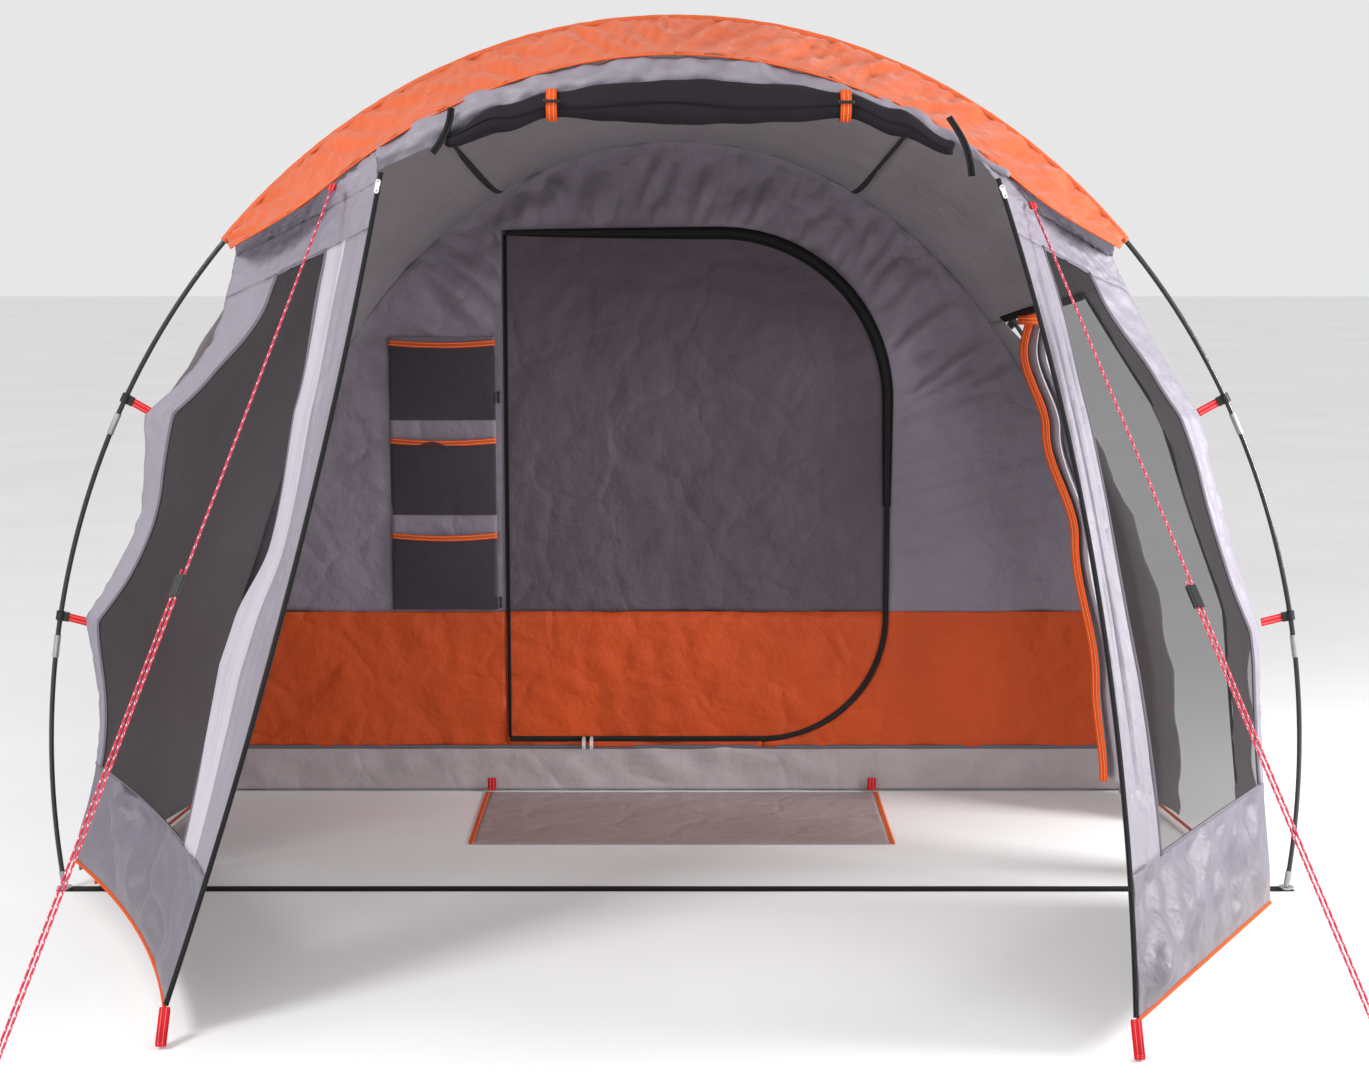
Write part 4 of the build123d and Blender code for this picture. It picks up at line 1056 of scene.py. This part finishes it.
sheet_piece("front_door_rolled", [(roll_sheet, WHOLE, WHOLE, (90, 170))], "net_roll",
            ["front_door_roll"], held="gathered", thickness=0.0008)
def door_head(first, second):
    """Top of the front door, from the band's edge (0) down behind the roll (1)."""
    x = lerp(-0.605, 0.680, second)
    scale = 1.0 - 0.055
    turn = sqrt(1.0 - (x / (scale * HOOP_HALF_WIDTH)) ** 2)
    top = Vector((x, ROLL_Y + 0.036, HOOP_CENTRE_Z + scale * HOOP_RISE * turn - 0.004))
    z, radius = smooth_section(ROLL, max(ROLL[0][0], min(ROLL[-1][0], x)))
    beyond = max(0.0, ROLL[0][0] - x, x - ROLL[-1][0])
    low = Vector((x, ROLL_Y + 0.75 * radius, z + 0.30 * radius - 0.50 * beyond))
    return lerp(top, low, first) - Vector((0.0, 0.020 * sin(pi * first), 0.0))


def head_ripple(first, second, point):
    value = wave(second * 16.0, first * 1.5, 7.0) + 0.5 * wave(second * 38.0, first * 3.0, 8.0)
    return 0.014 * value


sheet_piece("front_door_head", [(door_head, WHOLE, WHOLE, (24, 180))], "fly_mid",
            ["front_door_roll"], ripple=head_ripple, held="hung")


def twisting(index, point):
    return Vector((0.35 - 0.02 * index, -1.0, 0.2)).normalized()


tail_parts = []
for top_x, top_z, low_x, low_z in ((-0.450, 1.702, -0.488, 1.612), (0.553, 1.684, 0.600, 1.566)):
    start = Vector((top_x, ROLL_Y - 0.004, top_z))
    end = Vector((low_x, ROLL_Y - 0.014, low_z))
    line = [lerp(start, end, t) + Vector((0.010, -0.008, 0.0)) * sin(pi * t)
            for t in spaced(0.0, 1.0, 30)]
    tail_parts.append(ribbon(line, twisting, 0.014, thickness=0.003))
trim_piece("front_door_zip_ends", tail_parts, "zip")


def tie(centre, reach):
    """Closed tape round a roll or a curtain; reach is how far along two axes."""
    first, second = reach
    ring = [centre + first * cos(t) + second * sin(t) for t in spaced(0.0, tau, 48)]
    return ribbon(ring, away_from(centre), 0.022, thickness=0.0022)


def toggle(centre, axis, half, waist, middle=()):
    """Barrel toggle with rounded ends and a waist for its cord."""
    end = [(half, 0.0016), (half - 0.0008, 0.0034), (half - 0.0048, 0.0040), (waist, 0.0032)]
    return lathe(centre, axis, [(-p, r) for p, r in end] + list(middle) + end[::-1])


TIES = [(-0.247, 1.708), (0.344, 1.706)]
TIE_RADIUS = 0.033
tie_parts, toggle_parts = [], []
for x, z in TIES:
    reach = TIE_RADIUS - 0.0014
    tie_parts.append(tie(Vector((x, ROLL_Y, z)), (Vector((0.0, reach, 0.0)), UP * reach)))
    toggle_parts.append(toggle(Vector((x, ROLL_Y - TIE_RADIUS - 0.0045, z + 0.006)),
                               Vector((1.0, 0.0, 0.0)), 0.0168, 0.005, [(0.0, 0.0030)]))
tie_parts.append(tie(Vector((0.886, 0.653, 1.237)),
                     (Vector((0.0535, 0.0, 0.0)), Vector((0.0, 0.0315, 0.0)))))
trim_piece("tie_tapes", tie_parts, "hem", ["tie_loops"])
HINGE_X = -0.442
for z in (1.030, 0.500):
    toggle_parts.append(toggle(Vector((HINGE_X - 0.012, INNER_FRONT_Y - 0.0074, z)), UP, 0.0148,
                               0.004))
trim_piece("toggle_barrels", toggle_parts, "plastic", ["toggles"])

# ---- side doorway's gathered curtain --------------------------------------------------
CURTAIN = [(0.090, 1.122, 0.635, 0.052, 0.030), (0.350, 1.092, 0.640, 0.048, 0.028),
           (0.700, 1.030, 0.650, 0.043, 0.026), (0.968, 0.948, 0.653, 0.038, 0.025),
           (1.164, 0.884, 0.655, 0.032, 0.024), (1.290, 0.902, 0.655, 0.026, 0.016)]
PLEATS = 5


def curtain(height, across):
    """Pleated side door, hanging bunched at the rear of its doorway."""
    z = CURTAIN[0][0] + (CURTAIN[-1][0] - CURTAIN[0][0]) * height
    x, y, half_x, half_y = smooth_section(CURTAIN, z)
    phase = across * PLEATS * pi + 1.3 * wave(across * 5.0, height * 3.0, 1.0)
    fold = asin(0.96 * sin(phase)) / 1.29
    sway = 0.004 * wave(across * 9.0, height * 6.0, 4.0)
    return Vector((x + half_x * (2.0 * across - 1.0) * 0.94 + sway, y + half_y * 0.90 * fold, z))


def curtain_edge(z):
    x, y, half_x, _ = smooth_section(CURTAIN, z)
    return Vector((x - half_x - 0.006, y - 0.010, z))


curtain_hem = trim_piece("side_curtain_binding", [
    ribbon([curtain_edge(z) for z in spaced(0.092, 1.288, 120)], Vector((-0.55, -0.83, 0.0)), 0.021,
           thickness=0.003)], "hem", ["side_curtain_hem"])
sheet_piece("side_door_gathered", [(curtain, WHOLE, WHOLE, (90, 150))], "fly_pale",
            ["side_door_curtain"], held="gathered",
            thickness=0.0008)

# ---- inner tent -----------------------------------------------------------------------
DOOR_LEFT, DOOR_RIGHT, DOOR_BOTTOM, DOOR_TOP = -0.441, 0.546, 0.133, 1.452
TOP_RADIUS, BOTTOM_RADIUS, SKIRT_TOP, TUB_TOP = 0.435, 0.325, 0.475, 0.118
WALL_Y = INNER_FRONT_Y - 0.0015


def door_side(z, gap=0.0):
    """How far right the D-shaped door reaches at a height, grown by a gap."""
    right, top, bottom = DOOR_RIGHT + gap, DOOR_TOP + gap, DOOR_BOTTOM - gap
    upper, lower = TOP_RADIUS + gap, BOTTOM_RADIUS + gap
    if z > top - upper:
        return right - upper + sqrt(max(0.0, upper ** 2 - (z - top + upper) ** 2))
    if z < bottom + lower:
        return right - lower + sqrt(max(0.0, lower ** 2 - (bottom + lower - z) ** 2))
    return right


def arch_side(z):
    return (INNER_HALF_WIDTH - 0.002) * sqrt(max(0.0, 1.0 - (z / (INNER_HEIGHT - 0.002)) ** 2))


def outline(turn_or_height, gap=0.001):
    """Door edge from the skirt's top on the right, over the top, to the skirt's top on the left."""
    right, top, left = DOOR_RIGHT + gap, DOOR_TOP + gap, DOOR_LEFT - gap
    radius = TOP_RADIUS + gap
    t = turn_or_height
    if t < 0.25:
        return right, SKIRT_TOP + (top - radius - SKIRT_TOP) * t / 0.25
    if t < 0.50:
        turn = (t - 0.25) / 0.25 * pi / 2.0
        return right - radius + radius * cos(turn), top - radius + radius * sin(turn)
    if t < 0.70:
        return right - radius + (left - right + radius) * (t - 0.50) / 0.20, top
    return left, top + (SKIRT_TOP - top) * (t - 0.70) / 0.30


def wall_above(t, share):
    """Front wall between the door (0) and the arch (1)."""
    x, z = outline(t)
    low = degrees(asin(SKIRT_TOP / (INNER_HEIGHT - 0.002)))
    marks = [(0.0, low), (0.25, 45.0), (0.50, 82.0), (0.70, 114.0), (1.0, 180.0 - low)]
    for (t0, a0), (t1, a1) in zip(marks[:-1], marks[1:]):
        if t <= t1:
            angle = radians(a0 + (a1 - a0) * (t - t0) / (t1 - t0))
            break
    far_x, far_z = (INNER_HALF_WIDTH - 0.002) * cos(angle), (INNER_HEIGHT - 0.002) * sin(angle)
    return Vector((x + (far_x - x) * share, WALL_Y, z + (far_z - z) * share))


def wall_gathers(first, second, point):
    """Gathers run out from the door's zip and up to the arch."""
    count = 58.0
    value = 1.0 - 3.2 * abs(wave(first * count, second * 1.3, 2.0))
    value += 0.7 * wave(first * count * 2.4, second * 2.6, 6.0)
    broad = wave(point.x * 4.0, point.z * 4.0, 1.0)
    edge = min(1.0, 9.0 * second) * min(1.0, 14.0 * (1.0 - second))
    strength = 0.35 + 0.65 * sin(pi * second) if 0.22 < first < 0.86 else 0.25
    return edge * (0.0125 * value * strength + 0.010 * broad)


def flat_puckers(seed, depth):
    def ripple(first, second, point):
        x, z = point.x, point.z
        value = wave(x * 5.0 + z * 3.0, z * 5.0 - x * 2.0, seed)
        value += 0.6 * wave(x * 15.0 - z * 9.0, z * 14.0 + x * 8.0, seed + 4.0)
        return depth * value
    return ripple


sheet_piece("cabin_front_cloth", [(wall_above, WHOLE, WHOLE, (300, 36))], "inner",
            ["cabin_front_wall"], ripple=wall_gathers)
FOOT_END = DOOR_RIGHT - BOTTOM_RADIUS   # right end of the door's straight foot
EDGE_GAP = 0.001


def across_wall(near, far):
    """Front wall between two lines, each a function of height that gives x."""
    return lambda z, share: Vector((lerp(near(z), far(z), share), WALL_Y, z))


def skirt_inner(z):
    return door_side(z, EDGE_GAP) if z > DOOR_BOTTOM - EDGE_GAP else FOOT_END


skirt_low = TUB_TOP + 0.0005
sheet_piece("cabin_skirt_cloth", [
    (across_wall(lambda z: -arch_side(z), level(HINGE_X)), (skirt_low, SKIRT_TOP), WHOLE, (40, 60)),
    (across_wall(skirt_inner, arch_side), (skirt_low, SKIRT_TOP), WHOLE, (60, 60)),
    (across_wall(level(HINGE_X), level(FOOT_END)), (skirt_low, DOOR_BOTTOM - EDGE_GAP), WHOLE,
     (4, 60))],
    "inner_orange", ["cabin_skirt"], ripple=flat_puckers(3.0, 0.0065))


def door_puckers(seed, depth):
    puckers = flat_puckers(seed, depth)

    def ripple(first, second, point):
        near = min(1.0, 9.0 * second, 9.0 * (1.0 - second),
                   7.0 * (1.0 - first) + (0.0 if point.z > 0.6 else 0.2))
        return near * puckers(first, second, point)
    return ripple


def leaf_upper(t, share):
    """Charcoal upper part of the cabin door, from the orange part (0) to its top (1)."""
    corner = DOOR_TOP - TOP_RADIUS
    if t < 0.5:
        z, right = lerp(SKIRT_TOP + 0.0003, corner, t / 0.5), DOOR_RIGHT
    else:
        turn = (t - 0.5) / 0.5 * pi / 2.0
        z, right = corner + TOP_RADIUS * sin(turn), DOOR_RIGHT - TOP_RADIUS + TOP_RADIUS * cos(turn)
    return Vector((lerp(DOOR_LEFT, right, share), WALL_Y, z))


def leaf_lower(t, share):
    corner = DOOR_BOTTOM + BOTTOM_RADIUS
    turn = t * pi / 2.0
    z = corner - BOTTOM_RADIUS * sin(turn) if t > 0 else SKIRT_TOP
    return Vector((lerp(DOOR_LEFT, FOOT_END + BOTTOM_RADIUS * cos(turn), share), WALL_Y, z))


def door_edge_points(count=60):
    """The zip's line round the door, 7 mm inside its edge, from the hinge's foot."""
    inset = 0.007
    left, right = DOOR_LEFT + inset, DOOR_RIGHT - inset
    low, high = DOOR_BOTTOM + inset, DOOR_TOP - inset
    upper, lower = TOP_RADIUS - inset, BOTTOM_RADIUS - inset
    points = [(lerp(left, right - lower, t), low) for t in spaced(0.0, 1.0, count)]
    points += [(right - lower + lower * sin(t), low + lower - lower * cos(t))
               for t in spaced(0.05, pi / 2.0, count)]
    points += [(right, lerp(low + lower, high - upper, t)) for t in spaced(0.03, 1.0, count)]
    points += [(right - upper + upper * cos(t), high - upper + upper * sin(t))
               for t in spaced(0.05, pi / 2.0, count)]
    points += [(lerp(right - upper, left, t), high) for t in spaced(0.03, 1.0, count)]
    side = [(left, lerp(high, low + 0.004, t)) for t in spaced(0.004, 1.0, count * 2)]
    return points, side


zip_y = INNER_FRONT_Y - 0.0055
loop_edge, hinge_edge = door_edge_points()
door_line = [Vector((x, zip_y, z)) for x, z in loop_edge]
hinge_line = [Vector((x, zip_y, z)) for x, z in hinge_edge]
flap = [point + FACING * 0.0008 for point in door_line[150:]]


def flap_width(share):
    return 0.010 + 0.022 * sin(pi * min(1.0, share * 0.92 + 0.08)) ** 0.6


def door_teeth(points, step):
    made, run = [], 0.0
    for start, end in zip(points[:-1], points[1:]):
        gap = (end - start).length
        way = (end - start) / gap
        while run < gap:
            centre = start + way * run + FACING * 0.0015
            tooth = [centre - way * 0.0008, centre + way * 0.0008]
            made.append(ribbon(tooth, FACING, 0.0056, thickness=0.0012))
            run += step
        run -= gap
    return made


trim_piece("cabin_door_zip_tape", [ribbon(door_line, FACING, 0.013, thickness=0.0020),
                                   ribbon(hinge_line, FACING, 0.009, thickness=0.0020)],
           "zip", ["cabin_door_zip"], "cabin_door")
trim_piece("cabin_door_zip_teeth", door_teeth(door_line, 0.0027), "plastic", [],
           "cabin_door")
trim_piece("cabin_door_flap", [ribbon(flap, FACING, flap_width, thickness=0.0012)], "zip",
           [], "cabin_door")
sheet_piece("cabin_door_upper_cloth", [(leaf_upper, WHOLE, WHOLE, (90, 80))], "door",
            ["cabin_door_upper"], "cabin_door", ripple=door_puckers(11.0, 0.0060),
            held="hung")
sheet_piece("cabin_door_lower_cloth", [(leaf_lower, WHOLE, WHOLE, (40, 80))], "inner_orange",
            ["cabin_door_lower"], "cabin_door", ripple=door_puckers(13.0, 0.0060),
            held="hung")

INNER_SPANS = ((4.2, 86.0), (-0.98, 0.98), (60, 50))
sheet_piece("inner_roof_cloth", [(inner_roof, (4.2, 175.8), (0.0, 0.985), (120, 40))], "inner",
            ["cabin_roof"], ripple=gather(60.0, 24.0, 0.004))
for side, side_name in SIDES:
    sheet_piece(f"inner_side_{side_name}_cloth", [(dome_side(INNER_DOME, side), *INNER_SPANS)],
                "inner", ["inner_sides"], ripple=gather(62.0 + side, 14.0, 0.004))
sheet_piece("inner_rear_cloth", [(dome_rear(INNER_DOME), *INNER_SPANS)], "inner",
            ["inner_rear"], ripple=gather(66.0, 14.0, 0.004))

FLOOR_BACK = CABIN_MIDDLE_Y + BACK_HALF_DEPTH - 0.045
FLOOR_HALF = BACK_HALF_WIDTH - 0.045
TUB_OUT, SIDE_TOP = 0.0025, 0.106


def floor_sheet(first, second):
    return Vector((FLOOR_HALF * (2.0 * second - 1.0), lerp(INNER_FRONT_Y, FLOOR_BACK, first),
                   0.0018))


def tub_wall(top, start, end, steps):
    """Upright wall of the tub from one point of the floor plan to another."""
    def surface(z, share):
        return Vector((lerp(start[0], end[0], share), lerp(start[1], end[1], share), z))
    return surface, (0.004, top), WHOLE, steps


def tub_ripple(first, second, point):
    return 0.0090 * wave(second * 26.0, first * 1.5, 3.0) * (0.3 + 0.7 * sin(pi * first))


sheet_piece("groundsheet_cloth", [(floor_sheet, WHOLE, WHOLE, (50, 50))], "tub",
            ["groundsheet"], ripple=ground_wave(5.0, 0.0009), held="laid")
seam_half, front_half = INNER_HALF_WIDTH - 0.006, INNER_HALF_WIDTH - 0.004
side_x, side_front, rear_y = FLOOR_HALF + TUB_OUT, INNER_FRONT_Y + 0.002, FLOOR_BACK + TUB_OUT
tub_edge = [Vector((x, WALL_Y - 0.002, TUB_TOP)) for x in spaced(-seam_half, seam_half, 200)]
tub_seam = trim_piece("tub_seam", [ribbon(tub_edge, FACING, 0.010, thickness=0.0016)], "seam")
sheet_piece("tub_wall_cloth", [
    tub_wall(TUB_TOP, (-front_half, WALL_Y), (front_half, WALL_Y), (14, 220)),
    tub_wall(SIDE_TOP, (-side_x, side_front), (-side_x, FLOOR_BACK), (10, 120)),
    tub_wall(SIDE_TOP, (side_x, side_front), (side_x, FLOOR_BACK), (10, 120)),
    tub_wall(SIDE_TOP, (FLOOR_HALF, rear_y), (-FLOOR_HALF, rear_y), (10, 120))],
    "tub", ["tub_walls"], ripple=tub_ripple)

# ---- pockets ---------------------------------------------------------------------------
POCKET_LEFT, POCKET_RIGHT = -0.733, -0.462
POCKET_ROWS = [(0.971, 1.175), (0.727, 0.925), (0.480, 0.680)]
POCKET_Y = INNER_FRONT_Y - 0.0033


def backing(first, second):
    return Vector((lerp(POCKET_LEFT, POCKET_RIGHT, second), POCKET_Y - 0.0012,
                   lerp(0.476, 1.183, first)))


sheet_piece("pocket_backing_cloth", [(backing, WHOLE, WHOLE, (60, 24))], "inner",
            ["pocket_backing"], ripple=flat_puckers(17.0, 0.0008))
for index, (low, high) in enumerate(POCKET_ROWS):
    def pouch(first, second, low=low, high=high):
        """Front of one pocket: sewn at its sides and foot, slack at its top edge."""
        bulge = sin(pi * second) ** 0.7 * sin(pi * min(1.0, 0.06 + first * 0.62))
        sag = -0.006 * sin(pi * second) * first ** 3
        return Vector((lerp(POCKET_LEFT, POCKET_RIGHT, second), POCKET_Y - 0.0030 - 0.016 * bulge,
                       lerp(low, high, first) + sag))
    top = [pouch(1.0, s) + Vector((0.0, -0.0010, -0.006)) for s in spaced(0.0, 1.0, 50)]
    binding = trim_piece(f"pocket_binding_{index + 1}",
                         [ribbon(top, FACING, 0.015, thickness=0.002)], "hem",
                         ["pocket_bindings"])
    sheet_piece(f"mesh_pocket_{index + 1}", [(pouch, WHOLE, WHOLE, (30, 40))], "net_pocket",
                ["mesh_pockets"], ripple=flat_puckers(19.0 + index, 0.002))

# ---- porch mat ----------------------------------------------------------------------------
MAT_X, MAT_BACK, MAT_WIDTH, MAT_DEPTH = 0.013, 0.872, 1.020, 0.500


def mat_sheet(first, second):
    """Laid mat with the creases it was folded along."""
    x = MAT_X + (MAT_WIDTH - 0.024) * (second - 0.5)
    y = MAT_BACK - MAT_DEPTH * first
    crease = max(0.0, 1.0 - abs(first - 0.52) * 60.0)
    for line in (0.27, 0.5, 0.74):
        crease = max(crease, 1.0 - abs(second - line) * 110.0)
    lift = 0.0012 + 0.0010 * crease + 0.0006 * (1.0 + wave(x * 9.0, y * 9.0, 2.0))
    return Vector((x, y, lift))


mat_edges = [ribbon([Vector((MAT_X + side * (MAT_WIDTH / 2.0 - 0.0056), MAT_BACK - t, 0.0022))
                     for t in spaced(0.001, MAT_DEPTH - 0.001, 60)], UP, 0.012, thickness=0.0030)
             for side in (-1, 1)]
mat_binding = trim_piece("mat_binding", mat_edges, "hem", ["mat_edging"], "mat_body")
sheet_piece("mat_cloth", [(mat_sheet, WHOLE, WHOLE, (60, 110))], "mat", ["mat"],
            "mat_body", held="laid")
TAB_LINE = [(0.0052, 0.0062), (0.0100, 0.0062), (0.0138, 0.0072), (0.0146, 0.0110), (0.0146, 0.022),
            (0.0146, 0.037)]   # how far behind the mat, and how high
tab_parts = [ribbon([Vector((x, MAT_BACK + y, z)) for y, z in TAB_LINE], Vector((0.0, -0.7, 0.7)),
                    0.022, thickness=0.0024) for x in (MAT_X - 0.495, MAT_X + 0.495)]
trim_piece("mat_tab_webbing", tab_parts, "web_red", ["mat_tabs"])

# ---- CAD parts that keep their shape ---------------------------------------------------------
HARDWARE = {
    "pole": ("hoop_sections", "pole_a_sections", "pole_b_sections"),
    "ferrule": ("pole_ferrules",),
    "steel": ("pole_ends",),
    "elastic": ("shock_cords",),
    "plastic": ("pole_clips", "guy_runner_left", "guy_runner_right"),
    "slider": ("door_slider_left", "door_slider_right", "cabin_slider_1", "cabin_slider_2"),
    "pull": ("door_pull_left", "door_pull_right", "cabin_pull_1", "cabin_pull_2")}
for finish, node_names in HARDWARE.items():
    for node_name in node_names:
        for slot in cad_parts[node_name].material_slots:
            slot.material = FINISHES[finish]

# ---- studio ----------------------------------------------------------------------------------
FLOOR_CORNERS = [(-30, -20, 0), (30, -20, 0), (30, 40, 0), (-30, 40, 0)]
floor_mesh = bpy.data.meshes.new("floor")
floor_mesh.from_pydata(FLOOR_CORNERS, [], [(0, 1, 2, 3)])
floor = bpy.data.objects.new("floor", floor_mesh)
scene.collection.objects.link(floor)
floor_finish = Finish("floor_paint", 0.85)
mottle = floor_finish.noise(floor_finish.coordinates(False), 1.2, 2.0)
floor_finish.paint(floor_finish.ramp(mottle, [(0.3, (0.84, 0.84, 0.84, 1.0)),
                                              (0.7, (0.88, 0.88, 0.88, 1.0))]))
floor_mesh.materials.append(floor_finish.material)
floor.location = (0.0, 0.0, -0.0005)

world = bpy.data.worlds.new("studio")
scene.world = world
world.use_nodes = True
world.node_tree.nodes["Background"].inputs["Color"].default_value = (1.0, 1.0, 1.0, 1.0)
world.node_tree.nodes["Background"].inputs["Strength"].default_value = 0.80

LIGHT_TARGET = Vector((0.0, 0.6, 0.8))
LIGHTS = (("key", (-4.2, -3.6, 4.4), 1.6, 230.0), ("fill", (3.6, -5.0, 2.4), 3.0, 45.0),
          ("side", (3.4, -0.4, 1.5), 1.0, 110.0))   # place, size in metres, watts
for name, place, size, power in LIGHTS:
    light_data = bpy.data.lights.new(name, "AREA")
    light_data.size, light_data.energy = size, power
    light = bpy.data.objects.new(name, light_data)
    light.location = place
    light.rotation_euler = (LIGHT_TARGET - Vector(place)).to_track_quat("-Z", "Y").to_euler()
    scene.collection.objects.link(light)
